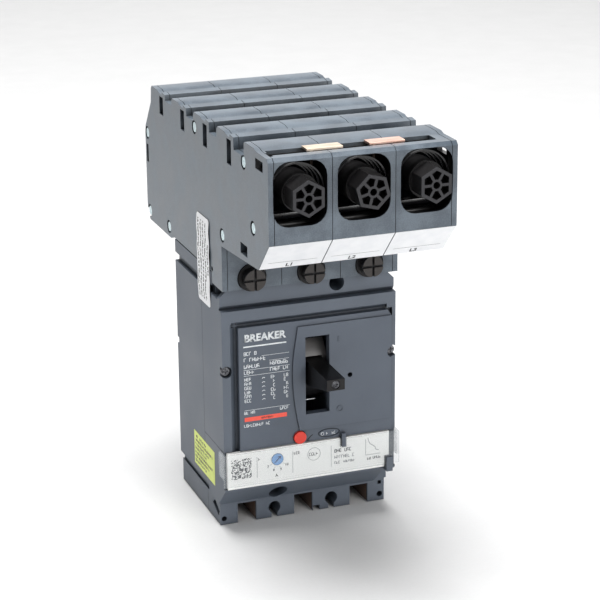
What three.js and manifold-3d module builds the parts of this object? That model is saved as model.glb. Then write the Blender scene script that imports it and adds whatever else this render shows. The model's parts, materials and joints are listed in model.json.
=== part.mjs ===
// Moulded case circuit breaker with a plug-on busbar adapter on its line end.
//
// Millimetres. +X is right, +Y goes back to the mounting plate, +Z is up.
// Sizes are given from the middle of the case, from its rear face and from
// the ends of its feet; the group is lowered at the end, so that the origin
// is the middle of the rear mounting face.
import * as THREE from 'three';
import { mergeVertices } from 'three/addons/utils/BufferGeometryUtils.js';
import Module from 'manifold-3d';

const wasm = await Module();
wasm.setup();

// ---- Clearances ----
const GAP = 0.3; // between pieces that touch
const RUN = 0.5; // around pieces that move
const CUT = 1; // how far a cutting tool runs past a face

// ---- Breaker case ----
const POLE_PITCH = 35; // from one phase to the next
const HALF_WIDTH = 1.5 * POLE_PITCH;
const BODY_TOP = 153.7; // top of the moulding, under the adapter
const CASE_HEIGHT = BODY_TOP + 7.3; // height of the standard frame, with its line terminals
const BASE_DEPTH = 50; // rear moulding
const CASE_DEPTH = 86; // rear and front mouldings together
const TRIP_TOP = 50.2; // top of the trip unit, which closes the lower front
const WALL = 2.8;
const REAR_WALL = 4;
const BAY_HALF = POLE_PITCH / 2 - WALL; // half the inner width of one phase chamber
const BAY_LOW = 24;
const BAY_HIGH = BODY_TOP - 13.7;
const POCKET_HALF = 10.5; // half the width of a terminal pocket
const LEG_GAP_HALF = 5.7; // half the gap between two feet
const LEG_GAP_TOP = 12;
const LEG_FRONT = CASE_DEPTH - 13; // depth of the feet
const FOOT_INSET = 1.2;
const SIDE_GROOVE = 2.4; // depth of the grooves along both sides
const SIDE_GROOVE_LOW = [14, 19];
const SIDE_GROOVE_HIGH = [BAY_HIGH + 1, BAY_HIGH + 6];
const MOUNT_HOLE_LOW = [-POLE_PITCH / 2, 18];
const MOUNT_HOLE_PITCH = 125;
const MOUNT_HOLE_R = 2.75;
const MOUNT_CHANNEL_R = [5.4, 4.6]; // screwdriver channels, lower and upper

// ---- Front of the case ----
const STEP_LOW = BODY_TOP - 19.1; // where the front steps back, under the adapter
const STEP_HIGH = STEP_LOW + 2.4;
const STEP_TOP = BODY_TOP - 6.7;
const STEP_DEPTH = CASE_DEPTH - 3;
const STEP_BACK = CASE_DEPTH - 16.3;
const STEP_CHAMFER = 5;
const FRONT_WALL = 7;
const FRONT_WALL_BACK = CASE_DEPTH - FRONT_WALL; // inner side of the front wall
const FRONT_BACK = -CASE_DEPTH + 6; // how far back cuts in the front pieces go
const RECESS_DEPTH = CASE_DEPTH - 3; // floor of the recess for the raised cover
const RECESS_LEFT = -HALF_WIDTH + 4.9;
const RECESS_SLOPE = 3.3; // how far its left side leans
const RECESS_RIGHT = HALF_WIDTH - 2.1;
const RECESS_TOP = STEP_LOW - 6.6;
const PLATE_LEFT = -HALF_WIDTH + 9.5;
const PLATE_TOP = RECESS_TOP - 3.5;
const PLATE_FRONT = CASE_DEPTH + 1;
const BULGE_FRONT = CASE_DEPTH + 2;
const WINDOW = { left: -3.5, right: 11, low: 67.8, high: 114.5 };
const SEAT_MARGIN = 2.5; // the case is open this much wider than the window
const SCREW_X = HALF_WIDTH - 2.3;
const SCREW_Z = 99;
const SCREW_RECESS_R = 3.5;

// ---- Toggle, contacts and trip parts ----
const PIVOT_Y = -(CASE_DEPTH - 26);
const PIVOT_Z = 91;
const TOGGLE_X = (WINDOW.left + WINDOW.right) / 2;
const TOGGLE_HALF = 5.3;
const TOGGLE_TIP = CASE_DEPTH + 31;
const TIP_LOW = 91.8;
const TIP_HIGH = 98.3;
const SHUTTER_R = 22.2;
const SHAFT_Y = -36;
const SHAFT_Z = 74;
const SHAFT_R = 6.5;
const ARM_REACH = 46;
const ARM_THICK = 4;
const ARM_REST_DEG = 4; // the open arm leans back this much
const SWING_DEG = 14; // from open to closed
const TRIP_BAR_Y = -(CASE_DEPTH - 19);
const TRIP_BAR_Z = 43.5;
const TRIP_BAR_R = 2.2;
const BUTTON = { x: -7.1, z: 54.1, r: 3.7 };
const BUTTON_TRAVEL = 2.5;
const DIAL = { x: -21.1, z: 42.8, r: 3.4 };

// ---- Trip unit front ----
const PANEL_BACK = CASE_DEPTH - 0.7;
const PANEL_FRONT = CASE_DEPTH + 2;
const PANEL_LEFT = -HALF_WIDTH + 1.5;
const PANEL_RIGHT = HALF_WIDTH - 4.5;
const PANEL_LOW = 28.1;
const COVER_BACK = PANEL_FRONT + 0.7;
const COVER_THICK = 1.2;
const COVER_LOW = 30.2;
const CLIP = { left: HALF_WIDTH - 6.8, right: HALF_WIDTH - 2.9, high: 34.6 };
const TAB = { left: 18, right: 20.4, low: 45.2 };

// ---- Busbar adapter ----
const BAR_PITCH = 42; // from one busbar groove to the next
const MODULE_WALL = 2.1;
const END_PLATE = 3; // thickness of the plates at both ends
const PLATE_FACE = HALF_WIDTH - GAP / 2;
const ADAPTER_FRONT = 167.5;
const ADAPTER_REAR = 57;
const ADAPTER_SEAT = BODY_TOP + 0.6;
const CREST_TOP = ADAPTER_SEAT + 86.3; // of the front ridge
const CREST_DROP = 1.05; // from one ridge to the next, going back
const ROOF_TOP = CREST_TOP + 1.8;
const GROOVE_FLOOR = CREST_TOP - 6.6;
const GROOVE_REAR = 12.8; // rear side of the rearmost groove
const GROOVE_WIDTH = 12.3;
const LABEL_LOW = ADAPTER_SEAT + 24.2;
const LABEL_TOP = LABEL_LOW + 17.4;
const LABEL_BACK = ADAPTER_FRONT - 16.8;
const NECK_FRONT = CASE_DEPTH + 2.8;
const NECK_LOW = STEP_TOP + 0.6;
const OPENING = { half: BAY_HALF, low: LABEL_TOP + 8.9, high: ROOF_TOP - 3.2, r: 8.6 };
const BOLT_Z = ROOF_TOP - 20;
const BOLT_END = ADAPTER_FRONT + 12.5;
const HEX_FLATS = 17;
const BOLT_SHAFT_R = 4;
const JAW_TOP = BOLT_Z + BOLT_SHAFT_R + GAP + 0.8;
const JAW_TRAVEL = 3;
const TERMINAL_Z = BODY_TOP + 0.3;
const TERMINAL_SHAFT_R = 3.2;
const SLOT_DEPTH = 6; // of the slots in both ends of the adapter
const CONDUCTOR_FRONT = -20.3;
const CONDUCTOR_THICK = 3;
const RIVET_R = 2;
const RIVET_HEAD_R = 2.9;
const RIVET_BOSS_R = 3;
const RIVET_RECESS_R = 4;
const RIVET_RECESS = 1.6; // depth
const RIVETS = [
  [52.6, 51.9],
  [-129, 76.7],
  [52, 3.2],
  [11.7, 3.8],
  [-90.5, 26.4],
  [-142.8, 44.6],
].map(([y, up]) => [y, ADAPTER_SEAT + up]);
RIVETS.splice(1, 0, [-43.7, JAW_TOP + GAP + RIVET_BOSS_R]);
const CLIP_LENGTH = 20;
const CLIP_FRONT = -ADAPTER_FRONT + 9.3;
const CLIP_BACK = -ADAPTER_FRONT + 17.2;
const CLIPS = [-POLE_PITCH / 2 - 0.5, POLE_PITCH / 2 - 1]; // their middles

const poles = [-POLE_PITCH, 0, POLE_PITCH];
const rad = THREE.MathUtils.degToRad;

// ---- Solids ----

/** Turn a closed three.js geometry into a manifold solid. */
function solid(geometry) {
  geometry.deleteAttribute('normal');
  geometry.deleteAttribute('uv');
  const merged = mergeVertices(geometry, 1e-4);
  return new wasm.Manifold(new wasm.Mesh({
    numProp: 3,
    vertProperties: Float32Array.from(merged.attributes.position.array),
    triVerts: Uint32Array.from(merged.index.array),
  }));
}

const AXES = {
  X: [[0, 1, 0], [0, 0, 1], [1, 0, 0]],
  Y: [[0, 0, 1], [1, 0, 0], [0, 1, 0]],
  Z: [[1, 0, 0], [0, 1, 0], [0, 0, 1]],
};

/** Extrude an outline along one axis; its points are (y, z), (z, x) or (x, y). */
function prism(axis, points, from, to) {
  const shape = new THREE.Shape(points.map(([a, b]) => new THREE.Vector2(a, b)));
  const geometry = new THREE.ExtrudeGeometry(shape, { depth: to - from, bevelEnabled: false });
  geometry.translate(0, 0, from);
  const basis = AXES[axis].map((v) => new THREE.Vector3(...v));
  geometry.applyMatrix4(new THREE.Matrix4().makeBasis(...basis));
  return solid(geometry);
}

/** Extrude along Y an outline given as (x, z) points. */
function prismY(points, from, to) {
  return prism('Y', points.map(([x, z]) => [z, x]), from, to);
}

function box(x0, x1, y0, y1, z0, z1) {
  const geometry = new THREE.BoxGeometry(x1 - x0, y1 - y0, z1 - z0);
  geometry.translate((x0 + x1) / 2, (y0 + y1) / 2, (z0 + z1) / 2);
  return solid(geometry);
}

function circle(a, b, r, steps = 24, turn = 0) {
  return Array.from({ length: steps }, (_, i) => {
    const t = turn + (2 * Math.PI * i) / steps;
    return [a + r * Math.cos(t), b + r * Math.sin(t)];
  });
}

function rodX(y, z, r, from, to, steps) {
  return prism('X', circle(y, z, r, steps), from, to);
}

function rodY(x, z, r, from, to, steps) {
  return prismY(circle(x, z, r, steps), from, to);
}

/** A rectangle with round corners, as a list of points. */
function roundRect(a0, a1, b0, b1, r, steps = 5) {
  const corners = [[a1 - r, b1 - r, 0], [a0 + r, b1 - r, 90], [a0 + r, b0 + r, 180], [a1 - r, b0 + r, 270]];
  const points = [];
  for (const [a, b, start] of corners) {
    for (let i = 0; i <= steps; i += 1) {
      const t = rad(start + (90 * i) / steps);
      points.push([a + r * Math.cos(t), b + r * Math.sin(t)]);
    }
  }
  return points;
}

/** Part of a ring, in the plane of its points. */
function arcBand(a, b, inner, outer, from, to, steps = 12) {
  const point = (r, i) => {
    const t = rad(from + ((to - from) * i) / steps);
    return [a + r * Math.cos(t), b + r * Math.sin(t)];
  };
  const out = Array.from({ length: steps + 1 }, (_, i) => point(outer, i));
  const back = Array.from({ length: steps + 1 }, (_, i) => point(inner, steps - i));
  return [...out, ...back];
}

const join = (...parts) => parts.flat().reduce((whole, next) => whole.add(next));
const cut = (body, ...tools) => tools.flat().reduce((rest, tool) => rest.subtract(tool), body);

/** The same box on the left and on the right of the middle. */
function boxPair(x0, x1, y0, y1, z0, z1) {
  return [box(x0, x1, y0, y1, z0, z1), box(-x1, -x0, y0, y1, z0, z1)];
}

// ---- Breaker case ----

/** Chambers, pockets and leg gaps shared by the mouldings of the case. */
function poleCuts(yFront, yBack, low, high) {
  return poles.map((x) => box(x - BAY_HALF, x + BAY_HALF, yFront, yBack, low, high));
}

function pocketCuts(yFront, yBack, low, high) {
  return poles.map((x) => box(x - POCKET_HALF, x + POCKET_HALF, yFront, yBack, low, high));
}

function legGaps() {
  return poles.map((x) => box(
    x - LEG_GAP_HALF, x + LEG_GAP_HALF, -CASE_DEPTH - CUT, CUT, -CUT, LEG_GAP_TOP));
}

/** Grooves along both sides, and the narrower feet. */
function sideCuts(yFront, grooves) {
  const inner = HALF_WIDTH - SIDE_GROOVE;
  const outer = HALF_WIDTH + CUT;
  const tools = grooves.map(([low, high]) => boxPair(inner, outer, yFront, CUT, low, high));
  tools.push(boxPair(HALF_WIDTH - FOOT_INSET, outer, -CASE_DEPTH - CUT, CUT, -CUT, SIDE_GROOVE_LOW[0]));
  return tools.flat();
}

function mountHoles() {
  const [x, z] = MOUNT_HOLE_LOW;
  return [[x, z], [-x, z + MOUNT_HOLE_PITCH]].flatMap(([hx, hz], i) => [
    rodY(hx, hz, MOUNT_HOLE_R, -20, CUT, 20),
    rodY(hx, hz, MOUNT_CHANNEL_R[i], -CASE_DEPTH - CUT, -REAR_WALL * 2, 24),
  ]);
}

const SCREW_SHANK_R = 1.3;
const SCREW_END = -BASE_DEPTH + 20;
const screwHoles = () => [-SCREW_X, SCREW_X].map((x) => rodY(
  x, SCREW_Z, SCREW_SHANK_R + GAP, -CASE_DEPTH + 2, SCREW_END + 2, 14));

/** Thick blocks in the side walls that the cover screws bite into. */
function screwBosses(yFront, yBack) {
  return boxPair(HALF_WIDTH - 6.3, HALF_WIDTH - WALL + 0.2, yFront, yBack, SCREW_Z - 5, SCREW_Z + 4.5);
}

function shaftSlot() {
  const clear = SHAFT_R + 1;
  const end = HALF_WIDTH - WALL - 1.7;
  return box(-end, end, -BASE_DEPTH - CUT, SHAFT_Y + clear, SHAFT_Z - clear, SHAFT_Z + clear);
}

function baseCase() {
  const front = -BASE_DEPTH - CUT;
  const body = box(-HALF_WIDTH, HALF_WIDTH, -BASE_DEPTH, 0, 0, BODY_TOP);
  const hollow = cut(
    body,
    poleCuts(front, -REAR_WALL, BAY_LOW, BAY_HIGH),
    pocketCuts(front, -2 * REAR_WALL + 0.5, LEG_GAP_TOP - 0.5, BAY_LOW + 0.5),
    pocketCuts(front, -2 * REAR_WALL + 0.5, BAY_HIGH - 0.5, BODY_TOP + CUT),
  );
  return cut(
    join(hollow, screwBosses(-BASE_DEPTH, SCREW_END + 4)),
    legGaps(),
    shaftSlot(),
    sideCuts(front, [SIDE_GROOVE_LOW, SIDE_GROOVE_HIGH]),
    mountHoles(),
    screwHoles(),
    boxPair(HALF_WIDTH - 1.4, HALF_WIDTH + CUT, -3, CUT, 89, 93),
  );
}

function coverProfile() {
  return [
    [-BASE_DEPTH - GAP, TRIP_TOP + GAP],
    [-CASE_DEPTH, TRIP_TOP + GAP],
    [-CASE_DEPTH, STEP_LOW],
    [-CASE_DEPTH + 4.5, STEP_LOW + 0.4],
    [-STEP_DEPTH, STEP_HIGH],
    [-STEP_DEPTH, STEP_TOP],
    [-STEP_BACK, STEP_TOP],
    [-STEP_BACK, BODY_TOP],
    [-BASE_DEPTH - GAP, BODY_TOP],
  ];
}

/** Chamfered corners of the stepped-back top, and the notches behind them. */
function stepCorners() {
  const corner = [
    [HALF_WIDTH + CUT, STEP_TOP - STEP_CHAMFER - CUT],
    [HALF_WIDTH + CUT, STEP_TOP + CUT],
    [HALF_WIDTH - STEP_CHAMFER - CUT, STEP_TOP + CUT],
  ];
  const mirrored = corner.map(([x, z]) => [-x, z]);
  return [
    prismY(corner, -CASE_DEPTH - CUT, -STEP_BACK),
    prismY(mirrored, -CASE_DEPTH - CUT, -STEP_BACK),
    ...boxPair(HALF_WIDTH - 6, HALF_WIDTH + CUT, -STEP_DEPTH + 3, -STEP_BACK, STEP_TOP - 6.5, STEP_TOP + CUT),
  ];
}

/** The recess for the raised cover, with sloping sides. */
function coverRecess() {
  const slope = 2.6;
  const low = TRIP_TOP - CUT;
  const left = RECESS_LEFT + RECESS_SLOPE;
  const floor = box(left, RECESS_RIGHT, -CASE_DEPTH - CUT, -RECESS_DEPTH, low, RECESS_TOP - slope);
  const side = prism('Z', [
    [RECESS_LEFT, -CASE_DEPTH - CUT],
    [RECESS_LEFT, -CASE_DEPTH],
    [left, -RECESS_DEPTH],
    [left + 1, -RECESS_DEPTH],
    [left + 1, -CASE_DEPTH - CUT],
  ], low, RECESS_TOP - 1);
  const top = prism('X', [
    [-CASE_DEPTH - CUT, RECESS_TOP],
    [-CASE_DEPTH, RECESS_TOP],
    [-RECESS_DEPTH, RECESS_TOP - slope],
    [-RECESS_DEPTH, RECESS_TOP - slope - 1],
    [-CASE_DEPTH - CUT, RECESS_TOP - slope - 1],
  ], RECESS_LEFT + 0.8, RECESS_RIGHT - 3.4);
  return [floor, side, top];
}

function buttonBores() {
  const fingerX = [BUTTON.x - 4, BUTTON.x + 4];
  return [
    rodY(BUTTON.x, BUTTON.z, BUTTON.r + GAP, -CASE_DEPTH - 2 * CUT, -FRONT_WALL_BACK + 3, 24),
    rodY(BUTTON.x, BUTTON.z, 2 + RUN, -CASE_DEPTH, TRIP_BAR_Y + 3, 16),
    box(...fingerX, TRIP_BAR_Y - 5, TRIP_BAR_Y + 8, TRIP_BAR_Z - 4, BUTTON.z + 8),
  ];
}

function coverCase() {
  const front = -CASE_DEPTH - CUT;
  const body = prism('X', coverProfile(), -HALF_WIDTH, HALF_WIDTH);
  const hollow = cut(
    body,
    poleCuts(-FRONT_WALL_BACK, -BASE_DEPTH, TRIP_TOP + 4, STEP_LOW),
    pocketCuts(-STEP_BACK - 10, -BASE_DEPTH, BAY_HIGH, BODY_TOP + CUT),
    coverRecess(),
  );
  const seat = box(
    WINDOW.left - SEAT_MARGIN, WINDOW.right + SEAT_MARGIN, front, -FRONT_WALL_BACK + CUT,
    WINDOW.low - SEAT_MARGIN, WINDOW.high + SEAT_MARGIN);
  return cut(
    join(hollow, screwBosses(-FRONT_WALL_BACK - 1, -BASE_DEPTH - GAP)),
    seat,
    frameRoom(),
    stepCorners(),
    sideCuts(-STEP_BACK, [SIDE_GROOVE_HIGH]),
    mountHoles(),
    buttonBores(),
    screwHoles(),
    [-SCREW_X, SCREW_X].map((x) => rodY(x, SCREW_Z, SCREW_RECESS_R, front, -CASE_DEPTH + 4, 24)),
  );
}

/** The curved left edge of the thicker, right-hand part of the raised cover. */
function bulgeEdge() {
  const curve = new THREE.CatmullRomCurve3([
    new THREE.Vector3(-7.9, 121.2, 0),
    new THREE.Vector3(-11.0, 99, 0),
    new THREE.Vector3(-10.3, 77.2, 0),
    new THREE.Vector3(-7.2, 58.4, 0),
  ]);
  return curve.getPoints(14).map((p) => [p.x, p.y]);
}

function accessoryCover() {
  const right = RECESS_RIGHT - GAP;
  const low = TRIP_TOP + GAP;
  const back = -RECESS_DEPTH - GAP;
  const plate = prismY([
    [PLATE_LEFT, low],
    [right, low],
    [right, PLATE_TOP - 4],
    [right - 3, PLATE_TOP],
    [PLATE_LEFT, PLATE_TOP],
  ], -PLATE_FRONT, back);
  const bulge = prismY([
    ...bulgeEdge(),
    [right - 0.8, 58.4],
    [right - 0.8, 121.2],
  ], -BULGE_FRONT, back - 1);
  const tab = box(TAB.left, TAB.right, -PLATE_FRONT - 3, -PLATE_FRONT + 2, TAB.low, low + 3);
  const oval = circle(0, 0, 1, 28).map(([a, b]) => [10.9 + 6.8 * a, 54.3 + 2.7 * b]);
  const ring = circle(0, 0, 1, 28).map(([a, b]) => [10.9 + 6.0 * a, 54.3 + 2.0 * b]);
  const circleMark = cut(rodY(17.4, 68.6, 1.9, -BULGE_FRONT - 0.3, -BULGE_FRONT + 1, 20),
    rodY(17.4, 68.6, 1.4, -BULGE_FRONT - CUT, -BULGE_FRONT, 20));
  const barMark = box(16.3, 16.9, -BULGE_FRONT - 0.3, -BULGE_FRONT + 1, 109.3, 112.7);
  const body = join(plate, bulge, tab, circleMark, barMark);
  return cut(
    body,
    box(WINDOW.left, WINDOW.right, -BULGE_FRONT - CUT, FRONT_BACK, WINDOW.low, WINDOW.high),
    rodY(BUTTON.x, BUTTON.z, BUTTON.r + GAP, -BULGE_FRONT - CUT, FRONT_BACK, 24),
    rodY(23.6, 88.4, 1.5, -BULGE_FRONT - CUT, FRONT_BACK, 16),
    rodY(SCREW_X, SCREW_Z, SCREW_RECESS_R, -BULGE_FRONT - CUT, FRONT_BACK, 24),
    cut(prismY(oval, -BULGE_FRONT - CUT, -PLATE_FRONT + 0.7), prismY(ring, -BULGE_FRONT - 2, FRONT_BACK)),
  );
}

// ---- Trip unit ----

function tripHousing() {
  const top = TRIP_TOP;
  const front = -PANEL_BACK + GAP;
  const body = prism('X', [
    [-BASE_DEPTH - GAP, 0],
    [-BASE_DEPTH - GAP, top],
    [front, top],
    [front, PANEL_LOW - GAP],
    [-CASE_DEPTH - 0.6, PANEL_LOW - GAP],
    [-CASE_DEPTH - 0.6, PANEL_LOW - 1.6],
    [-LEG_FRONT, LEG_GAP_TOP + 1.2],
    [-LEG_FRONT, 0],
  ], -HALF_WIDTH, HALF_WIDTH);
  const clip = box(CLIP.left, CLIP.right, -COVER_BACK - COVER_THICK - 0.6, front + 1, PANEL_LOW - 2.5, CLIP.high);
  const hollow = cut(
    body,
    poleCuts(-LEG_FRONT - 8, -BASE_DEPTH, BAY_LOW, top - 3.7),
    pocketCuts(-LEG_FRONT + 6, -BASE_DEPTH, LEG_GAP_TOP - 0.5, BAY_LOW + 0.5),
  );
  const barSlot = box(
    -HALF_WIDTH + WALL + 1.7, HALF_WIDTH - WALL - 1.7, TRIP_BAR_Y - 5, TRIP_BAR_Y + 7, TRIP_BAR_Z - 5, TRIP_BAR_Z + 4.5);
  const clampHole = (x, z, r) => [
    rodY(x, z, r, -CASE_DEPTH, -LEG_FRONT + 12, 20),
    box(x - 1.8, x + 1.8, -CASE_DEPTH, -LEG_FRONT + 12, -CUT, z),
  ];
  const sidePocket = prism('X', [[-59, 9.5], [-63, 12.6], [-71.5, 8], [-69, 4.6]], -HALF_WIDTH - CUT, -HALF_WIDTH + 3.4);
  return cut(
    join(hollow, clip),
    legGaps(),
    sideCuts(-56, [SIDE_GROOVE_LOW]),
    mountHoles(),
    barSlot,
    buttonBores(),
    clampHole(-POLE_PITCH / 2 - 0.5, 6.2, 3.7),
    clampHole(POLE_PITCH / 2, 6.5, 3.9),
    rodY(-49, 3.7, 1.6, -CASE_DEPTH, -LEG_FRONT + 6, 16),
    rodY(48.4, 4, 1.8, -CASE_DEPTH, -LEG_FRONT + 6, 16),
    box(47.2, 49.4, -CASE_DEPTH, -LEG_FRONT + 6, 10.4, 12.6),
    box(6.1, 10.2, -CASE_DEPTH, -LEG_FRONT + 8, -CUT, 3),
    box(HALF_WIDTH - 7.7, HALF_WIDTH + CUT, -CASE_DEPTH - 4, -LEG_FRONT, -CUT, PANEL_LOW - 2.9),
    rodY(DIAL.x, DIAL.z, DIAL.r + GAP, -CASE_DEPTH, FRONT_BACK + 1, 24),
    sidePocket,
  );
}

const tabNotch = () => box(TAB.left - RUN, TAB.right + RUN, -CASE_DEPTH - 9, FRONT_BACK, TAB.low - RUN, TRIP_TOP + 2);
const clipNotch = () => box(CLIP.left - RUN, CLIP.right + RUN, -CASE_DEPTH - 9, FRONT_BACK, 20, CLIP.high + RUN);

function tripPanel() {
  return cut(
    box(PANEL_LEFT, PANEL_RIGHT, -PANEL_FRONT, -PANEL_BACK, PANEL_LOW, TRIP_TOP - 0.1),
    tabNotch(),
    clipNotch(),
    rodY(DIAL.x, DIAL.z, DIAL.r + GAP, -CASE_DEPTH - 9, FRONT_BACK, 24),
    rodY(BUTTON.x, BUTTON.z, BUTTON.r + GAP, -CASE_DEPTH - 9, FRONT_BACK, 24),
  );
}

function clearCover() {
  const inner = HALF_WIDTH + GAP;
  const outer = inner + 1.1;
  const front = -COVER_BACK - COVER_THICK;
  const top = TRIP_TOP - 0.2;
  const wrap = prism('Z', [
    [-outer, front],
    [outer, front],
    [outer, FRONT_BACK],
    [inner, FRONT_BACK],
    [inner, -COVER_BACK],
    [-inner, -COVER_BACK],
    [-inner, FRONT_BACK],
    [-outer, FRONT_BACK],
  ], COVER_LOW + 4.5, top);
  const apron = box(-outer, outer, front, -COVER_BACK, COVER_LOW, COVER_LOW + 6);
  const lip = box(-outer + 6, CLIP.left - 2, front - 0.6, front + 0.4, COVER_LOW, COVER_LOW + 1.6);
  return cut(join(wrap, apron, lip), tabNotch(), clipNotch());
}

function thermalDial() {
  const front = -PANEL_FRONT - 0.4;
  const knob = rodY(DIAL.x, DIAL.z, DIAL.r, front, FRONT_BACK - 0.5, 28);
  const stroke = prismY(
    [[-2.1, -0.35], [0.8, -0.35], [0.8, -1.1], [2.5, 0], [0.8, 1.1], [0.8, 0.35], [-2.1, 0.35]]
      .map(([a, b]) => [
        DIAL.x + a * Math.cos(rad(50)) - b * Math.sin(rad(50)),
        DIAL.z + a * Math.sin(rad(50)) + b * Math.cos(rad(50)),
      ]),
    front - CUT, front + 0.5);
  return cut(knob, stroke);
}

function tripButton() {
  return join(
    rodY(BUTTON.x, BUTTON.z, BUTTON.r, -BULGE_FRONT - 0.5, -CASE_DEPTH + 2, 28),
    rodY(BUTTON.x, BUTTON.z, 2, -CASE_DEPTH + 1.5, TRIP_BAR_Y - 1.6, 16),
  );
}

function tripBar() {
  const end = HALF_WIDTH - WALL - 3;
  const fingers = poles.map((x) => box(
    x - 2, x + 2, TRIP_BAR_Y, TRIP_BAR_Y + 5.2, TRIP_BAR_Z - 1, TRIP_BAR_Z + 1));
  const lever = box(BUTTON.x - 2, BUTTON.x + 2, TRIP_BAR_Y - 1.1, TRIP_BAR_Y + 1.1, TRIP_BAR_Z, BUTTON.z + 3);
  return join(rodX(TRIP_BAR_Y, TRIP_BAR_Z, TRIP_BAR_R, -end, end, 16), fingers, lever);
}

function loadTerminal(x) {
  const front = -BASE_DEPTH - 7;
  const pad = cut(box(x - 7, x + 7, front, front + 27, 16, 19), prism('Z', circle(x, front + 19, 3.2, 16), 10, 20));
  const heater = box(x - 5, x + 5, front, front + 3, 16, 46);
  return join(pad, heater);
}

function bimetal(x) {
  return join(
    box(x - 4, x + 4, -BASE_DEPTH - 10.3, -BASE_DEPTH - 7 - GAP, 20, 23),
    box(x - 4, x + 4, -BASE_DEPTH - 10.3, -BASE_DEPTH - 9.2, 20, 44),
  );
}

// ---- Toggle and contacts ----

function toggleLever() {
  const lever = prism('X', [
    [PIVOT_Y, PIVOT_Z - 8],
    [-PLATE_FRONT, PIVOT_Z - 6.3],
    [-TOGGLE_TIP, TIP_LOW],
    [-TOGGLE_TIP, TIP_HIGH],
    [-PLATE_FRONT, TIP_HIGH + 0.6],
    [PIVOT_Y, PIVOT_Z + 8],
  ], TOGGLE_X - TOGGLE_HALF, TOGGLE_X + TOGGLE_HALF);
  const hub = rodX(PIVOT_Y, PIVOT_Z, 8.5, TOGGLE_X - TOGGLE_HALF, TOGGLE_X + TOGGLE_HALF, 32);
  const tipZ = (TIP_LOW + TIP_HIGH) / 2;
  return cut(
    join(lever, hub),
    rodX(PIVOT_Y, PIVOT_Z, 2 + GAP, -30, 40, 20),
    rodY(TOGGLE_X, tipZ, 2.5, -TOGGLE_TIP - CUT, -TOGGLE_TIP + 3, 24),
    rodY(TOGGLE_X, tipZ, 1.2 + GAP, -TOGGLE_TIP - CUT, -TOGGLE_TIP + 14, 16),
  );
}

/** A recessed screw head with a cross slot, and its shank, along Y. */
function crossScrew(x, z, headR, front, headDepth, shankR, back) {
  const head = rodY(x, z, headR, front, front + headDepth, 24);
  const shank = rodY(x, z, shankR, front + headDepth - 0.5, back, 16);
  const arm = headR * 0.72;
  const slots = [
    box(x - arm, x + arm, front - CUT, front + headDepth * 0.4, z - 0.4, z + 0.4),
    box(x - 0.4, x + 0.4, front - CUT, front + headDepth * 0.4, z - arm, z + arm),
  ];
  return cut(join(head, shank), slots);
}

function toggleScrew() {
  const z = (TIP_LOW + TIP_HIGH) / 2;
  return crossScrew(TOGGLE_X, z, 2.5 - GAP, -TOGGLE_TIP + 0.6, 2, 1.2, -TOGGLE_TIP + 12);
}

function toggleShutter() {
  const half = TOGGLE_HALF + 3;
  const band = prism('X', arcBand(PIVOT_Y, PIVOT_Z, SHUTTER_R - 1.3, SHUTTER_R, 128, 232), TOGGLE_X - half, TOGGLE_X + half);
  const hole = box(
    TOGGLE_X - TOGGLE_HALF - GAP, TOGGLE_X + TOGGLE_HALF + GAP,
    PIVOT_Y - 30, PIVOT_Y - 14, PIVOT_Z - 7.7, PIVOT_Z + 8.8);
  return cut(band, hole);
}

function toggleYoke() {
  const inner = TOGGLE_HALF + GAP;
  const outer = inner + 1.2;
  const arm = (x0, x1) => prism('X', [
    [PIVOT_Y - 5, PIVOT_Z + 5],
    [PIVOT_Y - 5, PIVOT_Z - 6],
    [PIVOT_Y - 3, PIVOT_Z - 16.5],
    [PIVOT_Y + 3, PIVOT_Z - 16.5],
    [PIVOT_Y + 5, PIVOT_Z - 6],
    [PIVOT_Y + 5, PIVOT_Z + 5],
  ], x0, x1);
  const bridge = box(TOGGLE_X - outer, TOGGLE_X + outer, PIVOT_Y - 3, PIVOT_Y + 3, PIVOT_Z - 16.5, PIVOT_Z - 15);
  return cut(
    join(arm(TOGGLE_X - outer, TOGGLE_X - inner), arm(TOGGLE_X + inner, TOGGLE_X + outer), bridge),
    rodX(PIVOT_Y, PIVOT_Z, 2 + GAP, -30, 40, 20),
  );
}

const FRAME_INNER = TOGGLE_HALF + 3.7;
const FRAME_OUTER = FRAME_INNER + 1.2;

/** Room for the mechanism's frame in the middle chamber. */
function frameRoom() {
  const half = FRAME_OUTER + GAP;
  return box(TOGGLE_X - half, TOGGLE_X + half, PIVOT_Y - 14, -BASE_DEPTH, PIVOT_Z - 26, PIVOT_Z + 26);
}

function mechanismFrame() {
  const rear = -BASE_DEPTH - 0.8;
  const cheek = (x0, x1) => prism('X', [
    [rear, PIVOT_Z - 24],
    [rear, PIVOT_Z + 24],
    [rear - 9, PIVOT_Z + 24],
    [PIVOT_Y - 13, PIVOT_Z + 12],
    [PIVOT_Y - 13, PIVOT_Z - 12],
    [rear - 9, PIVOT_Z - 24],
  ], x0, x1);
  const back = cut(
    box(TOGGLE_X - FRAME_OUTER, TOGGLE_X + FRAME_OUTER, rear - 1.2, rear, PIVOT_Z - 24, PIVOT_Z + 24),
    box(TOGGLE_X - 7.2, TOGGLE_X + 7.2, rear - 3, rear + 2, PIVOT_Z - 20, PIVOT_Z + 20));
  const pin = rodX(PIVOT_Y, PIVOT_Z, 2, TOGGLE_X - FRAME_OUTER, TOGGLE_X + FRAME_OUTER, 20);
  return join(cheek(TOGGLE_X - FRAME_OUTER, TOGGLE_X - FRAME_INNER), cheek(TOGGLE_X + FRAME_INNER, TOGGLE_X + FRAME_OUTER), back, pin);
}

function contactShaft() {
  const end = HALF_WIDTH - WALL - 2.2;
  return rodX(SHAFT_Y, SHAFT_Z, SHAFT_R, -end, end, 28);
}

const ARM_PAD = 1.6;
const ARM_END = ARM_REACH + 2.5;
const CLOSED_DEG = ARM_REST_DEG + SWING_DEG;

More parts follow.
